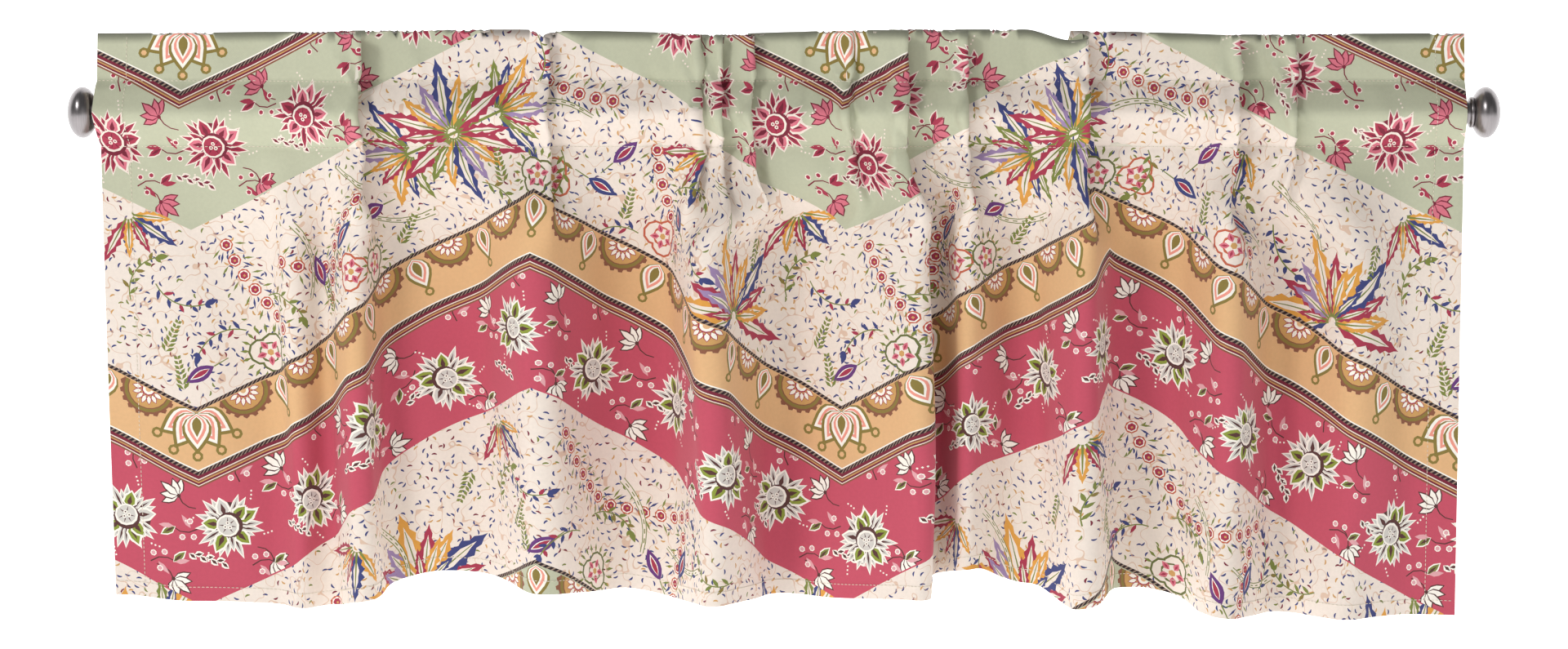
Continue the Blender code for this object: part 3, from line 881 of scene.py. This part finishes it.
def fill_cream(cycle, shift):
    repeat = 2 * HALF_REPEAT
    for tile in range(-1, 4):
        for row in CREAM_PLACES:
            at, _ = on_band(row.u + shift + repeat * tile, row.drop + CYCLE * cycle)
            if on_cloth(at, 40) and at.imag < TOP_MM + 30:
                draw, *rest = DRAW[row.kind]
                draw(at, way(row.turn), *rest)


fill_cream(-1, HALF_REPEAT)
fill_cream(0, 0.0)
fill_cream(1, HALF_REPEAT)
print(len(shapes), "outlines in all")

# %% [markdown]
# ## Cutting the print into the cloth
# A drawn motif stops at the edge of its own part of the cycle, so outside of it the motif is
# passed over. Only lines that show between two dyes are kept for the second triangulation.
# That one also gets a grid of plain points, closer where the cloth bends, so that each
# triangle can follow a fold.

# %% Plain points of the grid
COLUMNS = 384
bends = np.abs(np.gradient(gathers, flat)) + 0.6 * np.abs(np.gradient(drapes, flat))
bends += sum(110 * np.exp(-((flat - fold.at) / 0.030) ** 2) for fold in GATHERS)
effort = walk(0.5 * bends + 60.0)
columns = 1000 * np.interp(np.linspace(0.0, effort[-1], COLUMNS), effort, flat)
lines = 1000 * row_v
ends = (0.0, 0.0), (columns[-1], 0.0), (columns[-1], lines[-1]), (0.0, lines[-1])
points = [Vector(end) for end in ends]
print(len(lines), "rows by", COLUMNS, "columns of plain points")

# %% Triangulate, and dye each triangle by its topmost outline
outlines, dyes = [[0, 1, 2, 3]], [None]
for outline, dye in shapes:
    first = len(points)
    points.extend(Vector((p.real, p.imag)) for p in outline)
    outlines.append(list(range(first, len(points))))
    dyes.append(dye)
cut = delaunay_2d_cdt(points, [], outlines, 0, 1e-3, True)
flat_points = np.array([tuple(p) for p in cut[0]])
print(len(points), "points in,", len(flat_points), "points and", len(cut[2]), "triangles out")

# %% Keep the triangles of the cloth, and find the lines that show between two dyes
names = list(DYES)
first_faces = np.array([list(face) for face, inside in zip(cut[2], cut[5]) if 0 in inside])
first_dyes = []
covers = [inside for inside in cut[5] if 0 in inside]
for (u, y), inside in zip(flat_points[first_faces].mean(axis=1), covers):
    shown_here = (0, zone(u, y))
    own = [index for index in inside if index and int(np.searchsorted(zone_ends, index)) in shown_here]
    first_dyes.append(names.index(dyes[max(own)]) if own else -1)
first_dyes = np.array(first_dyes)
sides = np.sort(first_faces[:, [0, 1, 1, 2, 2, 0]].reshape(-1, 2), axis=1)
sides, which = np.unique(sides, axis=0, return_inverse=True)
lowest, highest = np.full(len(sides), len(names)), np.full(len(sides), -1)
shares = np.zeros(len(sides))
np.minimum.at(lowest, which.ravel(), np.repeat(first_dyes, 3))
np.maximum.at(highest, which.ravel(), np.repeat(first_dyes, 3))
np.add.at(shares, which.ravel(), 1)
shown = sides[(lowest != highest) | (shares == 1)]
print(len(first_faces), "triangles,", len(shown), "lines that show")

# %% Straighten those lines: a point that lies on the line between its two neighbours goes
STRAY_MM = 0.11
neighbours = defaultdict(set)
for one, other in shown.tolist():
    neighbours[one].add(other)
    neighbours[other].add(one)
for index in list(neighbours):
    if len(neighbours[index]) == 2:
        one, other = neighbours[index]
        here, span = flat_points[index] - flat_points[one], flat_points[other] - flat_points[one]
        length = np.hypot(*span)
        off = abs(here[0] * span[1] - here[1] * span[0]) / max(length, 1e-9)
        between = 0 < here @ span < length * length
        if off < STRAY_MM and between and other not in neighbours[one]:
            for end, new in ((one, other), (other, one)):
                neighbours[end].discard(index)
                neighbours[end].add(new)
            del neighbours[index]
shown = [(one, other) for one, ends in neighbours.items() for other in ends if one < other]
print(len(shown), "lines after that")

# %% Triangulate again with those lines alone, and look each triangle's dye up
# The places are counted in steps of the plain grid, so each triangle is as long as the cell
# that it lies in and follows its fold. A line longer than one step is cut into shorter ones,
# or it would bridge the folds.
def in_steps(place):
    """Place on the grid, counted in its columns and rows."""
    return Vector((np.interp(place[0], columns, range(len(columns))),
                   np.interp(place[1], lines, range(len(lines)))))


points, known, edges = [], {}, []
for pair in shown:
    for end in pair:
        if end not in known:
            known[end] = len(points)
            points.append(in_steps(flat_points[end]))
    one, other = pair
    pieces = math.ceil(abs(points[known[other]].x - points[known[one]].x))
    chain = [known[one]]
    span = flat_points[other] - flat_points[one]
    for k in range(1, pieces):
        chain.append(len(points))
        points.append(in_steps(flat_points[one] + span * k / pieces))
    edges += list(zip(chain, chain[1:] + [known[other]]))
points += [Vector((c, r)) for r in range(len(lines))
           for c in range(0, len(columns), 1 if lines[r] < TOP_MM + 1 else 2)]
points += [Vector((len(columns) - 1, r)) for r in range(len(lines))]
again = delaunay_2d_cdt(points, edges, [], 0, 1e-4, False)
faces = np.array([list(face) for face in again[2]])
first_tree = BVHTree.FromPolygons([(x, y, 0.0) for x, y in flat_points], first_faces.tolist())
steps_u, steps_v = np.array([tuple(place) for place in again[0]]).T
flat_points = np.stack([np.interp(steps_u, range(len(columns)), columns),
                        np.interp(steps_v, range(len(lines)), lines)], axis=1)
one, two, three = (flat_points[faces[:, k]] for k in range(3))
clockwise = np.cross(two - one, three - one) < 0
faces[clockwise] = faces[clockwise][:, ::-1]
middles = flat_points[faces].mean(axis=1)
face_dyes = [int(first_dyes[first_tree.find_nearest((x, y, 0.0))[2]]) for x, y in middles]
flat_points = flat_points / 1000.0
print(len(faces), "triangles on the printed side")

# %% [markdown]
# ## The wrong side, the hems and the edge
# The wrong side of a print is paler, because the dye doesn't soak through. It lies one cloth
# thickness behind, and more than two behind at the hems, where the edge is turned under. It
# needs no drawn motifs, so it is a plain grid with the same rows and columns. A narrow rim
# joins it to the printed side all round. It is a piece of its own only to keep each mesh light.

# %% Hang both sides
HEM_STEP = 0.0015
HEM_EXTRA = 1.6


def thickness(u, v):
    side = np.minimum(u, FLAT_WIDTH - u)
    hem = 1.0 - ease((np.minimum(side / SIDE_HEM, v / BOTTOM_HEM) - 1.0) / 0.05)
    return CLOTH_THICKNESS * (1.0 + HEM_EXTRA * hem * (v < POCKET_LOW_V))


front_co, front_no = hung(*flat_points.T), facing(*flat_points.T)
hem_edges = [SIDE_HEM, SIDE_HEM + HEM_STEP, FLAT_WIDTH - SIDE_HEM - HEM_STEP, FLAT_WIDTH - SIDE_HEM]
grid_u = np.union1d(columns / 1000, hem_edges)
grid_v = np.union1d(row_v, [BOTTOM_HEM, BOTTOM_HEM + HEM_STEP])
grid_uv = np.stack(np.meshgrid(grid_u, grid_v), -1).reshape(-1, 2)
wide, high = len(grid_u), len(grid_v)
edge_co, grid_no = hung(*grid_uv.T), facing(*grid_uv.T)
behind_co = edge_co - grid_no * thickness(*grid_uv.T)[:, None]
behind_faces = [[r * wide + c, (r + 1) * wide + c, (r + 1) * wide + c + 1, r * wide + c + 1]
                for r in range(high - 1) for c in range(wide - 1)]
print(2 * len(behind_faces), "triangles on the wrong side")

# %% The rim, from the wrong side's edge forward to the printed side
loop = list(range(wide)) + [r * wide + wide - 1 for r in range(1, high)]
loop += [(high - 1) * wide + c for c in range(wide - 2, -1, -1)]
loop += [r * wide for r in range(high - 2, 0, -1)]
first = len(grid_uv)
forward = {point: first + index for index, point in enumerate(loop)}
for one, other in zip(loop, loop[1:] + loop[:1]):
    behind_faces.append([one, other, forward[other], forward[one]])
behind_co = np.concatenate([behind_co, edge_co[loop]])
behind_uv = np.concatenate([grid_uv, grid_uv[loop]])
print(len(loop), "points round the rim")


# %% Make the two meshes, with their flat address and their dyes
def in_scene(name, data):
    """New object in the scene, its place held in its own data."""
    made = bpy.data.objects.new(name, data)
    bpy.context.scene.collection.objects.link(made)
    return made


palette = np.array([linear(DYES[name]) + [1.0] for name in names] + [[0.0, 0.0, 0.0, 0.0]])


def cloth_piece(name, co, faces, uv, face_colors, wrong_side):
    mesh = bpy.data.meshes.new(name)
    mesh.from_pydata(co.tolist(), [], faces)
    corners = np.concatenate([np.asarray(face) for face in faces])
    sides = np.array([len(face) for face in faces])
    mesh.uv_layers.new(name="flat cloth").data.foreach_set("uv", uv[corners].astype(np.float32).ravel())
    dye = mesh.color_attributes.new(name="dye", type="FLOAT_COLOR", domain="CORNER")
    colors = np.repeat(palette[face_colors], sides, axis=0)
    dye.data.foreach_set("color", colors.astype(np.float32).ravel())
    wrong = mesh.attributes.new(name="wrong side", type="FLOAT", domain="POINT")
    wrong.data.foreach_set("value", np.full(len(co), wrong_side, dtype=np.float32))
    mesh.shade_smooth()
    return in_scene(name, mesh)


cloth = cloth_piece("valance_cloth", front_co, faces.tolist(), flat_points, face_dyes, 0.0)
cloth.data.normals_split_custom_set_from_vertices(front_no.tolist())
no_dye = [-1] * len(behind_faces)
behind = cloth_piece("valance_wrong_side", behind_co, behind_faces, behind_uv, no_dye, 1.0)
print("printed side", len(cloth.data.polygons), "faces, wrong side", len(behind.data.polygons))

# %% [markdown]
# ## Printed plain-weave cotton
# The ground of the print is a rule, so the material draws it from the flat address: how far
# a point lies below the zigzag says which band it is in. Small commas fill the cream bands,
# one in each cell of a Voronoi pattern, turned at random. The drawn motifs and the bands'
# sharp edges come in as the dye attribute. Cotton has no coat and only a faint sheen, and its
# threads give a fine bump.


# %% One helper that adds a node, and three short forms of it
def add(tree, kind, put=None, **settings):
    node = tree.nodes.new(kind)
    for name, value in settings.items():
        setattr(node, name, value)
    for key, value in (put or {}).items():
        if isinstance(value, bpy.types.NodeSocket):
            tree.links.new(value, node.inputs[key])
        else:
            node.inputs[key].default_value = value
    return node


def calc(operation, *values):
    """Result of a maths node in the tree at hand."""
    return add(tree, "ShaderNodeMath", dict(enumerate(values)), operation=operation).outputs[0]


def cover(share, below, above):
    """The colour below, covered by the one above as far as the share says."""
    return add(tree, "ShaderNodeMix", {0: share, 6: below, 7: above}, data_type="RGBA").outputs[2]


def colour_steps(factor, rows):
    """Ramp of flat steps, each a start and a colour."""
    ramp = add(tree, "ShaderNodeValToRGB", {0: factor})
    ramp.color_ramp.interpolation = "CONSTANT"
    stops = ramp.color_ramp.elements
    for index, (start, color) in enumerate(rows):
        stop = stops[index] if index < 2 else stops.new(0.999)
        stop.position = start
        stop.color = color
    return ramp


def opaque(code):
    return (*linear(code), 1.0)


VECTOR = "ShaderNodeVectorMath"


def new_material(name):
    material = bpy.data.materials.new(name)
    material.use_nodes = True
    return material, material.node_tree, material.node_tree.nodes["Principled BSDF"]


# %% The zigzag coordinate, and the band it falls in
cotton, tree, shader = new_material("printed plain-weave cotton")
address = add(tree, "ShaderNodeUVMap", uv_map="flat cloth")
in_mm = add(tree, VECTOR, {0: address.outputs[0], 3: 1000.0}, operation="SCALE").outputs[0]
along, up = add(tree, "ShaderNodeSeparateXYZ", {0: in_mm}).outputs[:2]
arms = calc("DIVIDE", calc("SUBTRACT", along, VALLEY_AT), HALF_REPEAT)
lift = calc("MULTIPLY_ADD", calc("PINGPONG", arms, 1.0), ZIGZAG_RISE, TOP_MM - BRAID_DROP)
drop = calc("SUBTRACT", lift, up)
share = calc("DIVIDE", calc("FLOORED_MODULO", drop, 2 * CYCLE), 2 * CYCLE)
rows = []
for cycle, (border, field) in enumerate(HALVES):
    for below, name, cream in ((BRAID_DROP, border, 0.0), (STRIPES_DROP, "maroon", 0.0),
                               (FLOWERS_DROP, field, 0.0), (CREAM_DROP, "cream", 1.0)):
        start = CYCLE * cycle - BRAID_DROP + below
        rows.append((start / (2 * CYCLE), (*linear(DYES[name]), cream)))
ground = colour_steps(share, rows)
in_cycle = calc("FLOORED_MODULO", drop, CYCLE)
braids = [calc("COMPARE", in_cycle, 0.5 * (top + low) - BRAID_DROP, 0.5 * (low - top))
          for top, low in BRAIDS]
is_braid = calc("MAXIMUM", *braids)
is_cream = calc("GREATER_THAN", ground.outputs[1], 0.5)
print("ground of", len(ground.color_ramp.elements), "bands")

# %% Beads of the dark braid, drawn coarser than the real ones so that they show
BEAD = 3.4
BEAD_LEAN = 0.9
slant = calc("MULTIPLY_ADD", drop, BEAD_LEAN, along)
bead_wave = calc("SINE", calc("MULTIPLY", slant, 2 * math.pi / BEAD))
bead = calc("MULTIPLY", calc("GREATER_THAN", bead_wave, 0.35), is_braid)

# %% Commas strewn over the cream: each is a bent oval in its cell of the pattern
CELL = 6.6
COMMA_BEND = 0.9
COMMA_LONG = 9.0
COMMA_THIN = 85.0
COMMAS_LEFT_OUT = 0.34
cells = add(tree, VECTOR, {0: in_mm, 3: 1.0 / CELL}, operation="SCALE").outputs[0]
strewn = add(tree, "ShaderNodeTexVoronoi", {"Vector": cells, "Scale": 1.0, "Randomness": 0.85},
             voronoi_dimensions="2D")
chance = add(tree, "ShaderNodeSeparateColor", {0: strewn.outputs["Color"]}).outputs
local = add(tree, VECTOR, {0: cells, 1: strewn.outputs["Position"]}, operation="SUBTRACT")
turned = add(tree, "ShaderNodeVectorRotate",
             {"Vector": local.outputs[0], "Angle": calc("MULTIPLY", chance[0], 2 * math.pi)},
             rotation_type="Z_AXIS")
comma_x, comma_y = add(tree, "ShaderNodeSeparateXYZ", {0: turned.outputs[0]}).outputs[:2]
bowed = calc("MULTIPLY", comma_x, comma_x)
bent = calc("MULTIPLY_ADD", bowed, COMMA_BEND, comma_y)
thin_part = calc("MULTIPLY", bent, bent)
comma_far = calc("MULTIPLY_ADD", thin_part, COMMA_THIN, calc("MULTIPLY", bowed, COMMA_LONG))
printed = calc("MULTIPLY", calc("LESS_THAN", comma_far, 1.0),
               calc("GREATER_THAN", chance[2], COMMAS_LEFT_OUT))
comma_dyes = [(0.0, "navy"), (0.60, "maroon"), (0.70, "gold"), (0.90, "leaf")]
comma_dye = colour_steps(chance[1], [(start, opaque(DYES[name])) for start, name in comma_dyes])
commas = cover(calc("MULTIPLY", printed, is_cream), ground.outputs[0], comma_dye.outputs[0])

# %% Thin tan vines between the commas
vine_noise = add(tree, "ShaderNodeTexNoise", {"Vector": in_mm, "Scale": 0.055, "Detail": 1.0},
                 noise_dimensions="2D")
vine_near = calc("COMPARE", vine_noise.outputs[0], 0.5, 0.011)
vine_soft = calc("MULTIPLY", calc("MULTIPLY", vine_near, is_cream), 0.55)
vines = cover(vine_soft, commas, opaque("D2A27C"))

# %% Motifs, the wrong side and the unevenness of the dye
drawn = add(tree, "ShaderNodeVertexColor", layer_name="dye")
motifs = cover(bead, cover(drawn.outputs[1], vines, drawn.outputs[0]), opaque("9A8474"))
wrong = add(tree, "ShaderNodeAttribute", attribute_name="wrong side")
sided = cover(calc("MULTIPLY", wrong.outputs[2], 0.62), motifs, opaque("F1E7DC"))
mottle = add(tree, "ShaderNodeTexNoise", {"Vector": in_mm, "Scale": 0.35, "Detail": 3.0},
             noise_dimensions="2D")
mottle_span = add(tree, "ShaderNodeMapRange", {0: mottle.outputs[0], 3: 0.94, 4: 1.04})
uneven = add(tree, VECTOR, {0: sided, 3: mottle_span.outputs[0]}, operation="SCALE")
tree.links.new(uneven.outputs[0], shader.inputs["Base Color"])

# %% Threads: real ones are half a millimetre apart, drawn at 1.3 mm so that they show
THREAD = 1.3
warp, weft = (calc("SINE", calc("MULTIPLY", direction, 2 * math.pi / THREAD))
              for direction in (along, up))
slub = add(tree, "ShaderNodeTexNoise", {"Vector": in_mm, "Scale": 0.9, "Detail": 2.0},
           noise_dimensions="2D")
relief = calc("MULTIPLY_ADD", calc("MULTIPLY", warp, weft), 0.5, slub.outputs[0])
bump = add(tree, "ShaderNodeBump", {"Strength": 0.35, "Distance": 0.00012, "Height": relief})
tree.links.new(bump.outputs[0], shader.inputs["Normal"])
shader.inputs["Roughness"].default_value = 0.88
shader.inputs["Specular IOR Level"].default_value = 0.25
shader.inputs["Sheen Weight"].default_value = 0.12
shader.inputs["Sheen Roughness"].default_value = 0.5
cloth.data.materials.append(cotton)
behind.data.materials.append(cotton)
print("cotton material has", len(tree.nodes), "nodes")

# %% [markdown]
# ## Sewing
# A domestic lockstitch shows as a row of short raised dashes. Every seam here is such a row,
# so the seams are drawn as lines on the hung cloth, and Geometry Nodes sets one small thread
# dash at each step along them, turned to follow the line.

# %% Lines of the seams on the hung cloth
SEAM_LIFT = 0.00025
SEAM_INSET = 0.0015


def seam_line(u, v):
    return hung(u, v) + facing(u, v) * SEAM_LIFT


across_u = np.arange(0.002, FLAT_WIDTH - 0.002, 0.002)
up_v = np.arange(BOTTOM_HEM, TOP_V - 0.001, 0.004)
seam_lines = [
    seam_line(across_u, np.full_like(across_u, v))
    for v in (POCKET_TOP_V, POCKET_LOW_V, BOTTOM_HEM - SEAM_INSET)
]
seam_lines += [
    seam_line(np.full_like(up_v, u), up_v)
    for u in (SIDE_HEM - SEAM_INSET, FLAT_WIDTH - SIDE_HEM + SEAM_INSET)
]
print(len(seam_lines), "seams")

# %% Thread
thread, tree, shader = new_material("cream polyester sewing thread")
# Polyester thread is spun tight, so it shines a little more than the cotton under it.
place = add(tree, "ShaderNodeTexCoord")
fluff = add(tree, "ShaderNodeTexNoise", {"Vector": place.outputs["Object"], "Scale": 900.0})
tint = add(tree, "ShaderNodeValToRGB", {0: fluff.outputs[0]})
tint.color_ramp.elements[0].color = opaque("D9CDB8")
tint.color_ramp.elements[1].color = opaque("F4ECDD")
tree.links.new(tint.outputs[0], shader.inputs["Base Color"])
shader.inputs["Roughness"].default_value = 0.6

# %% The stitch tree
stitcher = bpy.data.node_groups.new("stitches along a seam", "GeometryNodeTree")
for name, kind, direction in (("Geometry", "NodeSocketGeometry", "INPUT"),
                              ("Pitch", "NodeSocketFloat", "INPUT"),
                              ("Stitch length", "NodeSocketFloat", "INPUT"),
                              ("Thread width", "NodeSocketFloat", "INPUT"),
                              ("Material", "NodeSocketMaterial", "INPUT"),
                              ("Geometry", "NodeSocketGeometry", "OUTPUT")):
    stitcher.interface.new_socket(name, in_out=direction, socket_type=kind)
given = add(stitcher, "NodeGroupInput")
line = add(stitcher, "GeometryNodeMeshToCurve", {0: given.outputs["Geometry"]})
steps = add(stitcher, "GeometryNodeCurveToPoints",
            {"Curve": line.outputs[0], "Length": given.outputs["Pitch"]}, mode="LENGTH")
dash = add(stitcher, "GeometryNodeMeshUVSphere", {"Segments": 6, "Rings": 4, "Radius": 0.5})
size = add(stitcher, "ShaderNodeCombineXYZ", {0: given.outputs["Stitch length"],
                                              1: given.outputs["Thread width"],
                                              2: given.outputs["Thread width"]})
aim = add(stitcher, "FunctionNodeAlignRotationToVector", {"Vector": steps.outputs["Tangent"]},
          axis="X")
placed = add(stitcher, "GeometryNodeInstanceOnPoints",
             {"Points": steps.outputs["Points"], "Instance": dash.outputs["Mesh"],
              "Rotation": aim.outputs[0], "Scale": size.outputs[0]})
real = add(stitcher, "GeometryNodeRealizeInstances", {0: placed.outputs[0]})
dyed = add(stitcher, "GeometryNodeSetMaterial", {"Geometry": real.outputs[0],
                                                 "Material": given.outputs["Material"]})
add(stitcher, "NodeGroupOutput", {0: dyed.outputs[0]})
print("stitch tree has", len(stitcher.nodes), "nodes")


# %% Sew
STITCH = {"Pitch": 0.0034, "Stitch length": 0.0026, "Thread width": 0.00062, "Material": thread}


def sew(name, lines):
    """Plain mesh of stitches along some lines."""
    path = bpy.data.meshes.new(name + " lines")
    points = np.concatenate(lines)
    edges, first = [], 0
    for row in lines:
        edges += [(first + k, first + k + 1) for k in range(len(row) - 1)]
        first += len(row)
    path.from_pydata(points.tolist(), edges, [])
    holder = in_scene(name + " lines", path)
    modifier = holder.modifiers.new("sew", "NODES")
    modifier.node_group = stitcher
    ids = {item.name: item.identifier
           for item in stitcher.interface.items_tree if item.in_out == "INPUT"}
    for label, value in STITCH.items():
        modifier[ids[label]] = value
    deps = bpy.context.evaluated_depsgraph_get()
    sewn_mesh = bpy.data.meshes.new_from_object(holder.evaluated_get(deps))
    bpy.data.objects.remove(holder)
    sewn_mesh.shade_smooth()
    return in_scene(name, sewn_mesh)


stitches = sew("stitches", seam_lines)
print(len(stitches.data.polygons), "faces of thread")

# %% [markdown]
# ## Rod and finials
# The rod is a plated steel tube and the finials are turned knobs with the same satin nickel
# plate. Plating follows the brushing under it, so the gloss is stretched round the turned
# shape. The knobs are turned again here, finer than in the solids and with the same profile.

# %% Satin nickel plate
nickel, tree, shader = new_material("satin nickel plate on steel")
# Nickel is a warm grey metal. A satin plate is brushed, so highlights are soft and streaked.
place = add(tree, "ShaderNodeTexCoord")
stretch = add(tree, "ShaderNodeMapping", {0: place.outputs["Object"], 3: (30.0, 1.0, 1.0)})
brushing = add(tree, "ShaderNodeTexNoise", {"Vector": stretch.outputs[0], "Scale": 60.0, "Detail": 4.0})
gloss = add(tree, "ShaderNodeMapRange", {0: brushing.outputs[0], 3: 0.24, 4: 0.38})
tint = add(tree, "ShaderNodeValToRGB", {0: brushing.outputs[0]})
tint.color_ramp.elements[0].color = opaque("7F7A7C")
tint.color_ramp.elements[1].color = opaque("A9A4A4")
tree.links.new(tint.outputs[0], shader.inputs["Base Color"])
tree.links.new(gloss.outputs[0], shader.inputs["Roughness"])
shader.inputs["Metallic"].default_value = 1.0
brush_bump = add(tree, "ShaderNodeBump",
                 {"Strength": 0.15, "Distance": 0.0001, "Height": brushing.outputs[0]})
tree.links.new(brush_bump.outputs[0], shader.inputs["Normal"])
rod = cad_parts["rod"]
rod.data.materials.clear()
rod.data.materials.append(nickel)
print("metal", nickel.name)

# %% Profile of a knob, from the rod outwards: place along the rod and radius
KNOB_STEPS = 20
TURN_STEPS = 72
KNOB_START = 0.5390 + 0.0003
COLLAR_FOOT = 0.0092
COLLAR_ROUND = 0.0015
BALL_WAIST = 0.0110
BALL_RADIUS = 0.02025
BALL_HALF_LENGTH = 0.0116
Turned = namedtuple("Turned", "along radius")


def knob_profile():
    """Rod's end, a rounded collar, and a flattened ball from its waist to its tip."""
    rows = [Turned(0.0, 0.0), Turned(0.0, COLLAR_FOOT), Turned(0.0022, COLLAR_FOOT)]
    rows += [Turned(0.0037 - COLLAR_ROUND * math.cos(t), BALL_WAIST + COLLAR_ROUND * math.sin(t))
             for t in np.linspace(0.15, math.pi - 0.15, 8)]
    waist = math.asin(BALL_WAIST / BALL_RADIUS)
    centre = 0.0052 + BALL_HALF_LENGTH * math.cos(waist)
    rows += [Turned(centre - BALL_HALF_LENGTH * math.cos(t), BALL_RADIUS * math.sin(t))
             for t in np.linspace(waist, math.pi, KNOB_STEPS + 1)]
    rows[-1] = Turned(rows[-1].along, 0.0)
    return rows


def make_knob(name, side):
    """Turned knob on one end of the rod, its place in its mesh."""
    co, rings = [], []
    for row in knob_profile():
        first = len(co)
        x = side * (KNOB_START + row.along)
        turns = TURN_STEPS if row.radius else 1
        co += [(x, row.radius * math.cos(t), side * row.radius * math.sin(t))
               for t in 2 * math.pi * np.arange(turns) / TURN_STEPS]
        rings.append(list(range(first, len(co))))
    faces = []
    for one, other in zip(rings, rings[1:]):
        for k in range(TURN_STEPS):
            n = (k + 1) % TURN_STEPS
            quad = [one[k % len(one)], one[n % len(one)], other[n % len(other)], other[k % len(other)]]
            faces.append(list(dict.fromkeys(quad)))
    knob_mesh = bpy.data.meshes.new(name)
    knob_mesh.from_pydata(co, [], faces)
    knob_mesh.flip_normals()
    knob_mesh.shade_smooth()
    knob_mesh.set_sharp_from_angle(angle=math.radians(50))
    knob_mesh.materials.append(nickel)
    return in_scene(name, knob_mesh)


knobs = [make_knob("knob_left", -1), make_knob("knob_right", 1)]
print("knobs", [len(knob.data.polygons) for knob in knobs])

# %% [markdown]
# ## Studio
# A plain white sweep stands behind and below, far enough away to take no shadow from the
# cloth. A large soft light from the upper left gives the folds their shade, a weaker one
# fills from the right, and an even white surround lights the rest.

# %% Sweep
paper, tree, shader = new_material("matt white studio paper")
shader.inputs["Base Color"].default_value = (0.92, 0.92, 0.92, 1.0)
shader.inputs["Roughness"].default_value = 0.95
shader.inputs["Emission Color"].default_value = (1.0, 1.0, 1.0, 1.0)
shader.inputs["Emission Strength"].default_value = 1.0
SWEEP_Z, SWEEP_Y, SWEEP_BEND, SWEEP_HALF = -0.80, 2.4, 1.2, 9.0
curve = [(-7.0, SWEEP_Z)]
curve += [(SWEEP_Y - SWEEP_BEND + SWEEP_BEND * math.sin(t), SWEEP_Z + SWEEP_BEND * (1 - math.cos(t)))
          for t in np.linspace(0, math.pi / 2, 13)]
curve.append((SWEEP_Y, 6.0))
sweep_mesh = bpy.data.meshes.new("sweep")
sweep_mesh.from_pydata([(x, y, z) for y, z in curve for x in (-SWEEP_HALF, SWEEP_HALF)], [],
                       [(2 * k, 2 * k + 1, 2 * k + 3, 2 * k + 2) for k in range(len(curve) - 1)])
sweep_mesh.shade_smooth()
sweep_mesh.materials.append(paper)
sweep = in_scene("sweep", sweep_mesh)

# %% Lights
Lamp = namedtuple("Lamp", "name place size power")
LAMPS = [
    Lamp("key", (-1.8, -2.0, 1.6), 0.6, 34.0),
    Lamp("fill", (2.2, -2.8, 0.3), 2.2, 4.0),
]
LIT_POINT = Vector((0.0, 0.0, -0.17))
for row in LAMPS:
    light = bpy.data.lights.new(row.name, "AREA")
    light.size = row.size
    light.energy = row.power
    lamp = in_scene(row.name, light)
    lamp.location = row.place
    lamp.rotation_euler = (LIT_POINT - Vector(row.place)).to_track_quat("-Z", "Y").to_euler()
world = bpy.data.worlds.new("even white surround")
world.use_nodes = True
world.node_tree.nodes["Background"].inputs[0].default_value = (1.0, 1.0, 1.0, 1.0)
world.node_tree.nodes["Background"].inputs[1].default_value = 0.145
bpy.context.scene.world = world
bpy.context.scene.view_settings.view_transform = "Standard"
print(len(LAMPS), "lamps")

# %% Camera: three metres away and a little above, with the frame 1.248 m wide at the cloth
AWAY, VIEW_WIDTH, ELEVATION, AIM_Z, SENSOR = 3.0, 1.248, 7.0, -0.169, 36.0
camera_data = bpy.data.cameras.new("camera")
camera_data.sensor_width = SENSOR
camera_data.lens = SENSOR * AWAY / VIEW_WIDTH
camera = in_scene("camera", camera_data)
lean = math.radians(ELEVATION)
camera.location = (0.0, -AWAY * math.cos(lean), AIM_Z + AWAY * math.sin(lean))
camera.rotation_euler = (math.pi / 2 - lean, 0.0, 0.0)
bpy.context.scene.camera = camera
print("lens", round(camera_data.lens, 1), "mm")

# %% [markdown]
# ## Tie the pieces to the frame
# The part has one body, so every piece rides on it. The cloth replaces its solid. The knobs replace the
# finials' solids.

# %% Ride and replace
for piece in [cloth, behind, stitches, *knobs]:
    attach(piece, "root")
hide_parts("valance")
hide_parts("finial_left")
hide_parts("finial_right")
